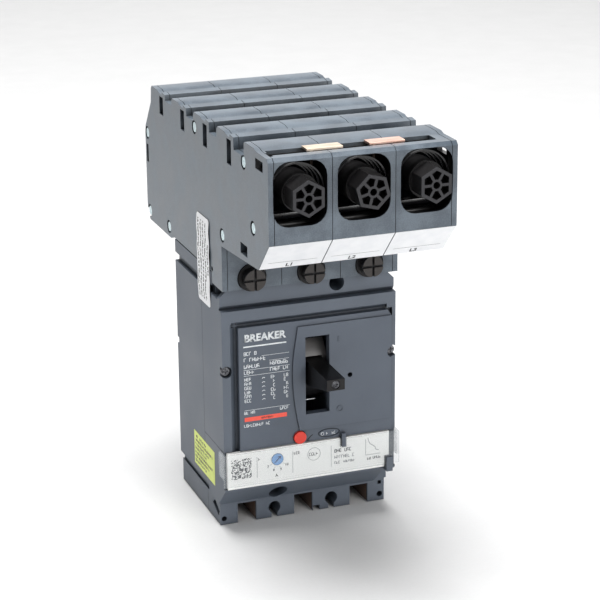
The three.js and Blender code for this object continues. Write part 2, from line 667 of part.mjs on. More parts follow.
/** Where the rear edge of the arms' pads ends up with the contacts closed. */
const LINE_PAD_FACE = SHAFT_Y + (ARM_THICK / 2 + ARM_PAD) * Math.cos(rad(CLOSED_DEG))
  + ARM_END * Math.sin(rad(CLOSED_DEG)) + 0.2;

function movingContact(x) {
  const lean = rad(ARM_REST_DEG);
  const turn = ([across, along]) => [
    SHAFT_Y + across * Math.cos(lean) + along * Math.sin(lean),
    SHAFT_Z - across * Math.sin(lean) + along * Math.cos(lean),
  ];
  const half = ARM_THICK / 2;
  const arm = prism('X', [
    [-half, SHAFT_R + 1],
    [half, SHAFT_R + 1],
    [half, ARM_REACH - 4],
    [half + ARM_PAD, ARM_REACH - 3.5],
    [half + ARM_PAD, ARM_END],
    [-half, ARM_END],
  ].map(turn), x - 3, x + 3);
  const clamp = cut(
    rodX(SHAFT_Y, SHAFT_Z, SHAFT_R + 2.8, x - 5, x + 5, 28),
    rodX(SHAFT_Y, SHAFT_Z, SHAFT_R + GAP, x - 6, x + 6, 28));
  return join(arm, clamp);
}

function lineContact(x) {
  const back = -2 * REAR_WALL;
  const padFront = CONDUCTOR_FRONT + CONDUCTOR_THICK + GAP;
  const tipZ = SHAFT_Z + ARM_REACH * Math.cos(rad(CLOSED_DEG));
  return cut(
    join(
      box(x - 6.5, x + 6.5, back - 3, back, tipZ - 5, CASE_HEIGHT),
      box(x - 3.5, x + 3.5, LINE_PAD_FACE, back - 2, tipZ - 4, tipZ + 4),
      box(x - 7.5, x + 7.5, padFront, back - 2, BAY_HIGH + 1, CASE_HEIGHT),
    ),
    rodY(x, TERMINAL_Z, TERMINAL_SHAFT_R + GAP, -40, back - 2.5, 20),
  );
}

function arcChute(x) {
  const rear = -24.5;
  const front = -47.5;
  const low = SCREW_Z + 5.5;
  const high = BAY_HIGH - 4;
  const cheeks = [-1, 1].map((side) => box(
    x + side * 12.9 - 0.6, x + side * 12.9 + 0.6, front, rear, low, high));
  const count = 6;
  const plates = Array.from({ length: count }, (_, i) => {
    const y = rear - 1 - (i * (rear - front - 2)) / (count - 1);
    return cut(
      box(x - 12.6, x + 12.6, y - 0.6, y + 0.6, low + 1, high - 1),
      box(x - 5, x + 5, y - 2, y + 2, low - 2, 128));
  });
  return join(cheeks, plates);
}

// ---- Busbar adapter ----

/** Height of a ridge; ridge 0 is the rearmost of the four. */
const crestTop = (index) => CREST_TOP - CREST_DROP * (3 - index);

/** One ridge, slope, post and groove of the roof, from its rear end. */
function roofPeriod(index) {
  const rear = BAR_PITCH * (1 - index);
  const crest = crestTop(index);
  return [
    [rear - 0.3, crest - 1.6],
    [rear - 1.8, crest],
    [rear - 13.5, crest],
    [rear - 15, crest - 0.6],
    [rear - 20.8, crest - 1.3],
    [rear - 22.4, crest - 1.4],
    [rear - 23, crest + 0.5],
    [rear - 28.7, crest - 0.1],
    [rear - 29.2, GROOVE_FLOOR],
    [rear - 29.2 - GROOVE_WIDTH, GROOVE_FLOOR],
  ];
}

function modulePoints() {
  const points = [
    [-ADAPTER_FRONT, LABEL_TOP],
    [-LABEL_BACK, LABEL_LOW],
    [-NECK_FRONT, LABEL_LOW - 4.5],
    [-NECK_FRONT, NECK_LOW],
    [-STEP_BACK - GAP, NECK_LOW],
    [-STEP_BACK - GAP, ADAPTER_SEAT],
    [0.5, ADAPTER_SEAT],
    [8, ADAPTER_SEAT - 2.3],
    [52, ADAPTER_SEAT - 2.3],
    [ADAPTER_REAR, ADAPTER_SEAT + 5.7],
    [ADAPTER_REAR, ADAPTER_SEAT + 50.7],
    [ADAPTER_REAR - 1, ADAPTER_SEAT + 55.7],
    [43, GROOVE_FLOOR - 7],
  ];
  for (let i = 0; i < 4; i += 1) {
    points.push(...roofPeriod(i));
  }
  const lastGroove = GROOVE_REAR - 3 * BAR_PITCH - GROOVE_WIDTH;
  points.push(
    [lastGroove - 4, GROOVE_FLOOR],
    [lastGroove - 4.6, ROOF_TOP - 1],
    [lastGroove - 6, ROOF_TOP],
    [-ADAPTER_FRONT + 21.5, ROOF_TOP],
    [-ADAPTER_FRONT + 18, ROOF_TOP - 1],
    [-ADAPTER_FRONT + 2, ROOF_TOP - 1],
    [-ADAPTER_FRONT, ROOF_TOP - 3],
  );
  return points;
}

/** Left and right side of a module; the outer two stop short of the end plates. */
function moduleSides(x) {
  const half = POLE_PITCH / 2 - GAP / 2;
  const limit = PLATE_FACE - END_PLATE - GAP;
  return [Math.max(x - half, -limit), Math.min(x + half, limit)];
}

/** The hollow of a module, open at the side where an end plate closes it. */
function moduleHollow(x) {
  const [left, right] = moduleSides(x);
  const from = x < 0 ? left - CUT : left + MODULE_WALL;
  const to = x > 0 ? right + CUT : right - MODULE_WALL;
  const front = -ADAPTER_FRONT + 3;
  const room = prism('X', [
    [front, LABEL_TOP + 2],
    [-LABEL_BACK + 2, LABEL_LOW + 3],
    [-NECK_FRONT + 2.8, LABEL_LOW - 1.5],
    [-NECK_FRONT + 2.8, NECK_LOW + 3],
    [-STEP_BACK - 3, NECK_LOW + 3],
    [-STEP_BACK - 3, ADAPTER_SEAT + 3],
    [2, ADAPTER_SEAT + 3],
    [8, ADAPTER_SEAT + 1],
    [51, ADAPTER_SEAT + 1],
    [ADAPTER_REAR - 3, ADAPTER_SEAT + 6.7],
    [ADAPTER_REAR - 3, ADAPTER_SEAT + 49.7],
    [ADAPTER_REAR - 4, ADAPTER_SEAT + 54.7],
    [40, GROOVE_FLOOR - 9],
    [40, GROOVE_FLOOR - 4],
    [front, GROOVE_FLOOR - 4],
  ], from, to);
  const tall = box(from, to, front, -ADAPTER_FRONT + 34, GROOVE_FLOOR - 6, ROOF_TOP - 3.4);
  return [room, tall];
}

/** Slots and holes in an end plate, cut to a depth from its outer face. */
function sideSlots(side, depth) {
  const reach = [side * (PLATE_FACE - depth), side * (PLATE_FACE + CUT)].sort((a, b) => a - b);
  const posts = [0, 1, 2, 3].map((i) => {
    const y = 20.8 - i * BAR_PITCH;
    return box(...reach, y - 3.6, y + 3.6, GROOVE_FLOOR - 10, crestTop(i) - 2.8);
  });
  return [
    ...posts,
    box(...reach, -ADAPTER_FRONT + 7.9, -ADAPTER_FRONT + 19.5, ROOF_TOP - 9.9, ROOF_TOP - 4.4),
    box(...reach, -133, -122, LABEL_LOW + 1.5, LABEL_LOW + 7.5),
    rodX(-STEP_BACK - 1.3, ADAPTER_SEAT + 1.7, 1.5, ...reach, 16),
  ];
}

/** The window over one clamp bolt. */
function boltWindow(x) {
  return prismY(
    roundRect(x - OPENING.half, x + OPENING.half, OPENING.low, OPENING.high, OPENING.r),
    -ADAPTER_FRONT - CUT, -ADAPTER_FRONT + 5);
}

function endPlate(side) {
  const span = (from, to) => [side * from, side * to].sort((a, b) => a - b);
  return cut(
    prism('X', modulePoints(), ...span(PLATE_FACE - END_PLATE, PLATE_FACE)),
    sideSlots(side, END_PLATE + CUT),
    boltWindow(side * POLE_PITCH),
    RIVETS.map(([y, z]) => rodX(y, z, RIVET_RECESS_R, ...span(PLATE_FACE - RIVET_RECESS, PLATE_FACE + CUT), 24)),
    RIVETS.map(([y, z]) => rodX(y, z, RIVET_R + GAP, ...span(PLATE_FACE - END_PLATE - CUT, PLATE_FACE + CUT), 16)),
    box(...span(PLATE_FACE - 1.5, PLATE_FACE + CUT), 51.2, 54.8, ADAPTER_SEAT + 33.7, ADAPTER_SEAT + 44.7),
  );
}

function busbarSlot(x, index) {
  const rear = GROOVE_REAR - index * BAR_PITCH;
  return box(x - 9, x + 9, rear - GROOVE_WIDTH, rear, GROOVE_FLOOR - 8, GROOVE_FLOOR + 1);
}

function lineModule(x, index) {
  const [left, right] = moduleSides(x);
  const outer = prism('X', modulePoints(), left, right);
  const bosses = RIVETS.map(([y, z]) => rodX(y, z, RIVET_BOSS_R, left, right, 20).intersect(outer));
  const side = Math.sign(x);
  return cut(
    join(cut(outer, moduleHollow(x)), bosses),
    boltWindow(x),
    RIVETS.map(([y, z]) => rodX(y, z, RIVET_R + GAP, left - CUT, right + CUT, 16)),
    side === 0 ? [] : sideSlots(side, SLOT_DEPTH),
    box(x - 9.5, x + 9.5, -62, -7.5, ADAPTER_SEAT - CUT, ADAPTER_SEAT + 4),
    rodY(x, TERMINAL_Z, 8 + RUN, -NECK_FRONT - CUT, -STEP_DEPTH + 0.1, 28),
    rodY(x, TERMINAL_Z, TERMINAL_SHAFT_R + RUN, -NECK_FRONT, -20, 16),
    busbarSlot(x, index),
    box(-HALF_WIDTH + 4.5, HALF_WIDTH - 9, CLIP_FRONT - 1.8, CLIP_BACK + GAP, ROOF_TOP - 5, ROOF_TOP + CUT),
    box(-HALF_WIDTH + 3.3, -HALF_WIDTH + 5.2, CLIP_FRONT - 3.8, CLIP_BACK - 3.7, ROOF_TOP - 3, ROOF_TOP + CUT),
  );
}

/** The end of a clamp bolt's hexagon has six pockets around a centre hole. */
function clampBolt(x, index, turnDeg) {
  const turn = rad(turnDeg);
  const hexagon = (flats) => circle(x, BOLT_Z, flats / Math.sqrt(3), 6, turn + Math.PI / 6);
  const end = -BOLT_END;
  const collarFront = -ADAPTER_FRONT + 0.6;
  const web = (angle) => {
    const across = [Math.cos(angle), Math.sin(angle)];
    const corner = (a, b) => [x + a * across[0] - b * across[1], BOLT_Z + a * across[1] + b * across[0]];
    return prismY([corner(-12, -0.75), corner(12, -0.75), corner(12, 0.75), corner(-12, 0.75)], end - 2, end + 8);
  };
  const webs = [0, 1, 2].map((i) => web(turn + (i * Math.PI) / 3));
  const pockets = cut(
    prismY(hexagon(HEX_FLATS - 3.4), end - CUT, end + 6),
    rodY(x, BOLT_Z, 3.1, end - 2, end + 8, 20), webs);
  const bolt = join(
    prismY(hexagon(HEX_FLATS), end, collarFront + 1),
    rodY(x, BOLT_Z, 10, collarFront, -LABEL_BACK - 1.3, 32),
    rodY(x, BOLT_Z, BOLT_SHAFT_R, -LABEL_BACK - 2.3, jawFront(index) + JAW_THICK - 1.5, 20),
  );
  return cut(bolt, pockets, rodY(x, BOLT_Z, 1.9, end - CUT, end + 9, 16));
}

const JAW_THICK = 7.2;
const grooveFront = (index) => GROOVE_REAR - index * BAR_PITCH - GROOVE_WIDTH;
const jawFront = (index) => grooveFront(index) - GAP - JAW_THICK;

function clampJaw(x, index) {
  const front = jawFront(index);
  const body = box(x - 8, x + 8, front, front + JAW_THICK, BOLT_Z - 10, JAW_TOP);
  return cut(body, rodY(x, BOLT_Z, BOLT_SHAFT_R + GAP, front - CUT, front + JAW_THICK + CUT, 20));
}

function lineConductor(x, index) {
  const low = CONDUCTOR_FRONT;
  const high = low + CONDUCTOR_THICK;
  const contact = GROOVE_REAR - index * BAR_PITCH + GAP;
  const shelf = ADAPTER_SEAT + 47.7;
  const bar = join(
    box(x - 7.5, x + 7.5, low, high, BAY_HIGH + 3, shelf + CONDUCTOR_THICK),
    box(x - 7.5, x + 7.5, Math.min(low, contact), Math.max(high, contact + CONDUCTOR_THICK), shelf, shelf + CONDUCTOR_THICK),
    box(x - 7.5, x + 7.5, contact, contact + CONDUCTOR_THICK, shelf, GROOVE_FLOOR - 5),
  );
  return cut(bar, rodY(x, TERMINAL_Z, TERMINAL_SHAFT_R + GAP, -40, 0, 20));
}

function terminalScrew(x) {
  const flangeFront = -NECK_FRONT - 0.2;
  const front = flangeFront - 6;
  const slot = (w, h) => box(x - w, x + w, front - CUT, front + 1.6, TERMINAL_Z - h, TERMINAL_Z + h);
  return cut(
    join(
      rodY(x, TERMINAL_Z, 6.2, front, flangeFront + 1, 28),
      rodY(x, TERMINAL_Z, 8, flangeFront, -STEP_DEPTH - 0.6, 28),
      rodY(x, TERMINAL_Z, TERMINAL_SHAFT_R, -STEP_DEPTH - 1, -2 * REAR_WALL - 3.5, 20),
    ),
    slot(6.5, 0.7),
    slot(0.7, 6.5),
  );
}

function tieRivet(y, z) {
  const seat = PLATE_FACE - RIVET_RECESS + GAP;
  const top = PLATE_FACE - 0.3;
  return join(
    rodX(y, z, RIVET_R, -top + 0.5, top - 0.5, 16),
    rodX(y, z, RIVET_HEAD_R, -top, -seat, 20),
    rodX(y, z, RIVET_HEAD_R, seat, top, 20),
  );
}

/** A staple across the joint of two modules. */
function linkClip(middle) {
  const left = middle - CLIP_LENGTH / 2;
  const right = middle + CLIP_LENGTH / 2;
  const plate = box(left, right, CLIP_FRONT, CLIP_BACK, ROOF_TOP - 1.2, ROOF_TOP + 0.1);
  const leg = (x) => box(x - 0.8, x + 0.8, CLIP_FRONT + 1.2, CLIP_BACK - 1.7, ROOF_TOP - 9, ROOF_TOP - 0.6);
  return join(plate, leg(left + 3), leg(right - 3));
}

// ---- Assembly ----

const FINISH = {
  caseGrey: ['#5f6771', 0.55, 0],
  plateGrey: ['#59616b', 0.5, 0],
  adapterGrey: ['#68727c', 0.55, 0],
  blackPlastic: ['#232325', 0.45, 0],
  whitePanel: ['#ececea', 0.5, 0],
  clear: ['#e4ebee', 0.1, 0],
  red: ['#e34a3c', 0.4, 0],
  blue: ['#6a9fd4', 0.45, 0],
  steel: ['#b9c0c4', 0.35, 1],
  brass: ['#d8c29a', 0.35, 1],
  copper: ['#c98a6a', 0.35, 1],
  fibre: ['#c9b79a', 0.8, 0],
  shutter: ['#8f9194', 0.4, 0],
};

const assembly = new THREE.Group();

/** Add one named sub-part. */
function add(name, body, finish) {
  const mesh = body.getMesh();
  const geometry = new THREE.BufferGeometry();
  geometry.setAttribute('position', new THREE.BufferAttribute(Float32Array.from(mesh.vertProperties), 3));
  geometry.setIndex(new THREE.BufferAttribute(Uint32Array.from(mesh.triVerts), 1));
  geometry.computeVertexNormals();
  const [color, roughness, metalness] = FINISH[finish];
  const node = new THREE.Mesh(geometry, new THREE.MeshStandardMaterial({ color, roughness, metalness }));
  node.name = name;
  assembly.add(node);
}

add('base_case', baseCase(), 'caseGrey');
add('cover_case', coverCase(), 'caseGrey');
add('accessory_cover', accessoryCover(), 'plateGrey');
add('trip_unit_housing', tripHousing(), 'caseGrey');
add('trip_unit_panel', tripPanel(), 'whitePanel');
add('clear_cover', clearCover(), 'clear');
add('thermal_dial', thermalDial(), 'blue');
add('trip_button', tripButton(), 'red');
add('trip_bar', tripBar(), 'blackPlastic');
add('toggle_lever', toggleLever(), 'blackPlastic');
add('toggle_screw', toggleScrew(), 'steel');
add('toggle_shutter', toggleShutter(), 'shutter');
add('toggle_yoke', toggleYoke(), 'steel');
add('mechanism_frame', mechanismFrame(), 'steel');
add('contact_shaft', contactShaft(), 'blackPlastic');
[-SCREW_X, SCREW_X].forEach((x, i) => {
  const name = ['cover_screw_left', 'cover_screw_right'][i];
  add(name, crossScrew(x, SCREW_Z, 2.5, -CASE_DEPTH + 2, 1.8, SCREW_SHANK_R, SCREW_END), 'steel');
});
[-1, 1].forEach((side, i) => {
  add(['end_plate_left', 'end_plate_right'][i], endPlate(side), 'adapterGrey');
});
poles.forEach((x, i) => {
  const number = i + 1;
  add(`moving_contact_${number}`, movingContact(x), 'copper');
  add(`line_contact_${number}`, lineContact(x), 'copper');
  add(`arc_chute_${number}`, arcChute(x), 'fibre');
  add(`load_terminal_${number}`, loadTerminal(x), 'copper');
  add(`bimetal_${number}`, bimetal(x), 'steel');
  add(`line_module_${number}`, lineModule(x, i), 'adapterGrey');
  add(`clamp_bolt_${number}`, clampBolt(x, i, i === 1 ? 15 : 0), 'blackPlastic');
  add(`clamp_jaw_${number}`, clampJaw(x, i), 'brass');
  add(`line_conductor_${number}`, lineConductor(x, i), 'copper');
  add(`terminal_screw_${number}`, terminalScrew(x), 'blackPlastic');
});
RIVETS.forEach(([y, z], i) => add(`tie_rivet_${i + 1}`, tieRivet(y, z), 'steel'));
CLIPS.forEach((middle, i) => add(`link_clip_${i + 1}`, linkClip(middle), i === 0 ? 'brass' : 'copper'));

assembly.position.z = -CASE_HEIGHT / 2;

export default assembly;
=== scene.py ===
"""Looks of the molded case breaker with its plug-on busbar adapter.

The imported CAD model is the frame. Its housings keep their shape and get
rounded edges and moulded, plated or printed finishes. Prints, labels, liners
and the ribs inside the adapter are modelled here. Lengths are metres; sizes
written as millimetres go through ``mm``. The origin is the middle of the rear
mounting face: +X right, +Y back, +Z up, with the feet at Z = -80.5 mm.
"""

import json
import logging
import math
import random
from dataclasses import dataclass, field
from enum import Enum

import bpy
from mathutils import Matrix, Vector

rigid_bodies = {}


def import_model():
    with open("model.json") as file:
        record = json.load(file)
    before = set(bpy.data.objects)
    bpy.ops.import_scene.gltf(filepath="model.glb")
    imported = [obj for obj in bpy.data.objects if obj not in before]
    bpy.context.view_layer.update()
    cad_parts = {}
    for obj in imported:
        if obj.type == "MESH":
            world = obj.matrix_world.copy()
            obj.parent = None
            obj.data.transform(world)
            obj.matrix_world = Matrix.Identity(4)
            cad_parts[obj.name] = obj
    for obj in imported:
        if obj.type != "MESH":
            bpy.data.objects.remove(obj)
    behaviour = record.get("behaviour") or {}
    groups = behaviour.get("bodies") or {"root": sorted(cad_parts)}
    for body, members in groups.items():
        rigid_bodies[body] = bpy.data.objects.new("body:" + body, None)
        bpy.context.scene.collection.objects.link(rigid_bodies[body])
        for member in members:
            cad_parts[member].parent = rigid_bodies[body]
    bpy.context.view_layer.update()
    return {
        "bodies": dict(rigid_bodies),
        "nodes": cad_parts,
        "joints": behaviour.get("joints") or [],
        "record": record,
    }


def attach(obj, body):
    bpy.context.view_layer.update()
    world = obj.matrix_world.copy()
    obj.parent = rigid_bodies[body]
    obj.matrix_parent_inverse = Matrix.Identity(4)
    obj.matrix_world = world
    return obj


log = logging.getLogger("breaker")

FEET = -80.5
POLES = (-35.0, 0.0, 35.0)
COVER_FACE = -87.0
BODY = "breaker_body"
FINE_PRINT_SKIP = 0.1


def mm(value: float) -> float:
    """Millimetres as metres."""
    return value / 1000


def up(value: float) -> float:
    """A height above the feet, in millimetres, as metres in the row frame."""
    return mm(value + FEET)


def linear(hex_colour: str) -> tuple[float, float, float, float]:
    """Turn an sRGB hex colour into linear red, green, blue and alpha.

    Args:
        hex_colour: six hex digits, with no sign in front.

    Returns:
        The linear colour with an alpha of one.
    """
    parts = [int(hex_colour[i:i + 2], 16) / 255 for i in (0, 2, 4)]
    bent = [((c + 0.055) / 1.055) ** 2.4 if c > 0.04045 else c / 12.92 for c in parts]
    return bent[0], bent[1], bent[2], 1.0


def deselect() -> None:
    """Leave object mode's selection empty."""
    if bpy.context.mode != "OBJECT":
        bpy.ops.object.mode_set(mode="OBJECT")
    bpy.ops.object.select_all(action="DESELECT")


def activate(piece: bpy.types.Object) -> None:
    """Select one piece alone and make it active."""
    deselect()
    piece.select_set(True)
    bpy.context.view_layer.objects.active = piece


# ---- Finishes -------------------------------------------------------------


def feed(tree: bpy.types.NodeTree, made: bpy.types.Node, links: dict) -> None:
    """Set or link a node's inputs.

    Args:
        tree: the tree it is in.
        made: the node.
        links: socket name or number to a value or to an output socket.
    """
    for key, value in links.items():
        socket = made.inputs[key]
        if isinstance(value, bpy.types.NodeSocket):
            tree.links.new(value, socket)
        else:
            socket.default_value = value


def node(tree: bpy.types.NodeTree, kind: str, links: dict | None = None, **settings: object) -> bpy.types.Node:
    """Add one node with its settings, values and links.

    Args:
        tree: the node tree to add to.
        kind: the node's type name.
        links: what its inputs take.
        settings: attributes set on the node itself.

    Returns:
        The new node.
    """
    made = tree.nodes.new(kind)
    for key, value in settings.items():
        setattr(made, key, value)
    feed(tree, made, links or {})
    return made


def noise(tree: bpy.types.NodeTree, place: bpy.types.NodeSocket, size_mm: float | tuple[float, float, float],
          detail: float, roughness: float = 0.5) -> bpy.types.NodeSocket:
    """Add a noise whose pattern has a size in millimetres.

    Args:
        tree: the node tree to add to.
        place: the object coordinates.
        size_mm: the pattern's size, one for each axis if it is stretched.
        detail: how many finer layers it has.
        roughness: how strong they are.

    Returns:
        The noise, from 0 to 1.
    """
    scale = 1.0
    if isinstance(size_mm, tuple):
        place = node(tree, "ShaderNodeMapping", {
            "Vector": place, "Scale": tuple(1000 / size for size in size_mm)}).outputs["Vector"]
    else:
        scale = 1000 / size_mm
    return node(tree, "ShaderNodeTexNoise", {
        "Vector": place, "Scale": scale, "Detail": detail, "Roughness": roughness}).outputs["Fac"]


def spread(tree: bpy.types.NodeTree, value: bpy.types.NodeSocket, source: tuple[float, float],
           target: tuple[float, float] = (0.0, 1.0)) -> bpy.types.NodeSocket:
    """Map a value from one range to another and hold it there."""
    return node(tree, "ShaderNodeMapRange", {
        "Value": value, "From Min": source[0], "From Max": source[1],
        "To Min": target[0], "To Max": target[1]}).outputs["Result"]


def math_node(tree: bpy.types.NodeTree, operation: str, first: object, second: object,
              clamp: bool = False) -> bpy.types.NodeSocket:
    """Join two numbers or output sockets by one operation."""
    return node(tree, "ShaderNodeMath", {0: first, 1: second}, operation=operation, use_clamp=clamp).outputs[0]


def blended(tree: bpy.types.NodeTree, factor: object, first: object, second: object,
            way: str = "MIX") -> bpy.types.NodeSocket:
    """Blend two colours, given as values or output sockets."""
    return node(tree, "ShaderNodeMix", {"Factor": factor, 6: first, 7: second},
                data_type="RGBA", blend_type=way).outputs[2]


def bump(tree: bpy.types.NodeTree, height: bpy.types.NodeSocket, strength: float) -> bpy.types.NodeSocket:
    """Turn a pattern into a relief a tenth of a millimetre deep."""
    return node(tree, "ShaderNodeBump", {
        "Height": height, "Strength": strength, "Distance": mm(0.1)}).outputs["Normal"]


def ramp(tree: bpy.types.NodeTree, source: bpy.types.NodeSocket,
         stops: list[tuple[float, str]]) -> bpy.types.NodeSocket:
    """Map a value to colours along a list of stops.

    Args:
        tree: the node tree to add to.
        source: the value that is mapped.
        stops: places from 0 to 1, each with an sRGB hex colour.

    Returns:
        The colour output.
    """
    made = node(tree, "ShaderNodeValToRGB", {"Fac": source})
    for element, (place, colour) in zip(made.color_ramp.elements, stops):
        element.position = place
        element.color = linear(colour)
    for place, colour in stops[2:]:
        made.color_ramp.elements.new(place).color = linear(colour)
    return made.outputs["Color"]


def new_material(name: str) -> tuple[bpy.types.Material, bpy.types.NodeTree, bpy.types.Node, bpy.types.NodeSocket]:
    """Make an empty material with its principled shader.

    Args:
        name: the finish's name.

    Returns:
        The material, its node tree, its shader node and the object coordinates.
    """
    material = bpy.data.materials.new(name)
    material.use_nodes = True
    tree = material.node_tree
    return material, tree, tree.nodes["Principled BSDF"], node(tree, "ShaderNodeTexCoord").outputs["Object"]


@dataclass(frozen=True)
class Zone:
    """A box of the object's own space where a finish takes another colour.

    Limits are millimetres, heights from the feet.
    """

    colour: str
    x: tuple[float, float] = (-200.0, 200.0)
    y: tuple[float, float] = (-300.0, 300.0)
    z: tuple[float, float] = (-10.0, 300.0)

    def mask(self, tree: bpy.types.NodeTree, place: bpy.types.NodeSocket) -> bpy.types.NodeSocket:
        """One inside the box, nought outside.

        Args:
            tree: the node tree to add to.
            place: the object coordinates.

        Returns:
            The mask's value.
        """
        axes = node(tree, "ShaderNodeSeparateXYZ", {"Vector": place})
        inside = 1.0
        for axis, (low, high), shift in (("X", self.x, 0.0), ("Y", self.y, 0.0), ("Z", self.z, FEET)):
            above = math_node(tree, "GREATER_THAN", axes.outputs[axis], mm(low + shift))
            below = math_node(tree, "LESS_THAN", axes.outputs[axis], mm(high + shift))
            inside = math_node(tree, "MULTIPLY", inside, math_node(tree, "MULTIPLY", above, below))
        return inside


def painted_recess_shade(tree: bpy.types.NodeTree, colour: bpy.types.NodeSocket, depth_mm: float,
             share: float, start: float) -> bpy.types.NodeSocket:
    """Paint shade into a colour in narrow recesses, darker where ambient occlusion finds less open space.

    Args:
        tree: the node tree to add to.
        colour: the colour of open faces.
        depth_mm: how wide the recesses are.
        share: how much of the colour stays in the deepest ones.
        start: openness at and below which they count as deepest.

    Returns:
        The new colour.
    """
    # Painted shade: ambient occlusion darkens the colour in recesses.
    hidden = node(tree, "ShaderNodeAmbientOcclusion", {"Distance": mm(depth_mm)}, samples=6)
    shade_factor = spread(tree, hidden.outputs["AO"], (start, 0.93), (share, 1.0))
    return blended(tree, 1.0, colour, shade_factor, "MULTIPLY")


@dataclass(frozen=True)
class MouldedPlastic:
    """Injection-moulded plastic with a fine spark-eroded grain.

    Light falls off softly over it, with faint flow clouds in the colour.
    Zones take another colour; narrow recesses get painted shade.
    """

    name: str
    base: str
    light: str
    dark: str
    roughness: float = 0.5
    grain_mm: float = 0.5
    grain_depth: float = 0.12
    cloud_mm: float = 38.0
    ior: float = 1.53
    zones: tuple[Zone, ...] = ()
    shade_recess_mm: float = 0.0
    shade_recess_share: float = 0.3
    shade_recess_start: float = 0.2
    contrast: float = 0.2
    gloss: float = 0.5

    def make(self) -> bpy.types.Material:
        """Build the material."""
        material, tree, shader, place = new_material(self.name)
        cloud = noise(tree, place, self.cloud_mm, 4.0, 0.6)
        grain = noise(tree, place, self.grain_mm, 2.0, 0.7)
        speck = node(tree, "ShaderNodeMix", {"Factor": 0.35, "A": cloud, "B": grain}, data_type="FLOAT")
        colour = ramp(tree, speck.outputs["Result"], [
            (0.5 - self.contrast, self.dark), (0.5, self.base), (0.5 + self.contrast, self.light)])
        for zone in self.zones:
            colour = blended(tree, zone.mask(tree, place), colour, linear(zone.colour))
        # Painted shade in narrow recesses.
        if self.shade_recess_mm:
            colour = painted_recess_shade(tree, colour, self.shade_recess_mm, self.shade_recess_share, self.shade_recess_start)
        feed(tree, shader, {
            "Base Color": colour, "IOR": self.ior, "Specular IOR Level": self.gloss,
            "Roughness": spread(tree, cloud, (0.3, 0.7), (self.roughness - 0.07, self.roughness + 0.08)),
            "Normal": bump(tree, grain, self.grain_depth)})
        return material


@dataclass(frozen=True)
class ShutterSheet:
    """Pressed insulating sheet, light at its top and dark at its foot.

    The colour changes at a height on the sheet, where one leaf ends.
    """

    name: str
    top: str
    foot: str
    change_mm: float
    fade_mm: float
    streak_mm: tuple[float, float, float] = (2.0, 2.0, 50.0 / 3.0)
    roughness: float = 0.4

    def make(self) -> bpy.types.Material:
        """Build the material."""
        material, tree, shader, place = new_material(self.name)
        height = node(tree, "ShaderNodeSeparateXYZ", {"Vector": place}).outputs["Z"]
        share = spread(tree, height, (up(self.change_mm - self.fade_mm), up(self.change_mm + self.fade_mm)))
        uneven = spread(tree, noise(tree, place, self.streak_mm, 3.0), (0.0, 1.0), (-0.15, 0.15))
        soft = math_node(tree, "ADD", share, uneven, clamp=True)
        feed(tree, shader, {
            "Base Color": ramp(tree, soft, [(0.0, self.foot), (1.0, self.top)]), "Roughness": self.roughness})
        return material


@dataclass(frozen=True)
class PlatedMetal:
    """Bare or plated metal, drawn or turned, with fine streaks in its gloss."""

    name: str
    base: str
    stain: str
    roughness: float = 0.32
    streak_mm: tuple[float, float, float] = (1.5, 1.5, 1.5)
    zones: tuple[Zone, ...] = ()

    def make(self) -> bpy.types.Material:
        """Build the material."""
        material, tree, shader, place = new_material(self.name)
        streak = noise(tree, place, self.streak_mm, 3.0)
        colour = ramp(tree, streak, [(0.35, self.stain), (0.6, self.base)])
        for zone in self.zones:
            colour = blended(tree, zone.mask(tree, place), colour, linear(zone.colour))
        feed(tree, shader, {
            "Base Color": colour, "Metallic": 1.0,
            "Roughness": spread(tree, streak, (0.3, 0.7), (self.roughness - 0.08, self.roughness + 0.1)),
            "Normal": bump(tree, streak, 0.08)})
        return material


@dataclass(frozen=True)
class PrintedSheet:
    """Printed film or ink, nearly even, with a faint mottle and a satin coat."""

    name: str
    base: str
    shade: str
    roughness: float = 0.4
    mottle_mm: float = 3.0

    def make(self) -> bpy.types.Material:
        """Build the material."""
        material, tree, shader, place = new_material(self.name)
        mottle = noise(tree, place, self.mottle_mm, 3.0)
        feed(tree, shader, {
            "Base Color": ramp(tree, mottle, [(0.3, self.shade), (0.6, self.base)]),
            "Roughness": spread(tree, mottle, (0.0, 1.0), (self.roughness - 0.05, self.roughness + 0.1))})
        return material


@dataclass(frozen=True)
class PrintedRows:
    """White film with sideways rows of tiny print, too fine to be read.

    Rows stand side by side along Y and run along Z.
    """

    name: str
    film: str
    ink: str
    pitch_mm: float
    letter_mm: float
    zones: tuple[Zone, ...]
    blank_share: float = 0.47
    roughness: float = 0.35

    def make(self) -> bpy.types.Material:
        """Build the material."""
        material, tree, shader, place = new_material(self.name)
        across = node(tree, "ShaderNodeSeparateXYZ", {"Vector": place}).outputs["Y"]
        rows = math_node(tree, "PINGPONG", across, mm(self.pitch_mm))
        in_row = math_node(tree, "GREATER_THAN", rows, mm(self.pitch_mm * 0.5))
        letters = noise(tree, place, (1000.0, self.pitch_mm, self.letter_mm), 1.0)
        inked = math_node(tree, "MULTIPLY", in_row, math_node(tree, "GREATER_THAN", letters, self.blank_share))
        printed = 0.0
        for zone in self.zones:
            share = math_node(tree, "MULTIPLY", inked, zone.mask(tree, place))
            printed = math_node(tree, "MAXIMUM", printed, share)
        feed(tree, shader, {
            "Base Color": ramp(tree, printed, [(0.0, self.film), (1.0, self.ink)]), "Roughness": self.roughness})
        return material


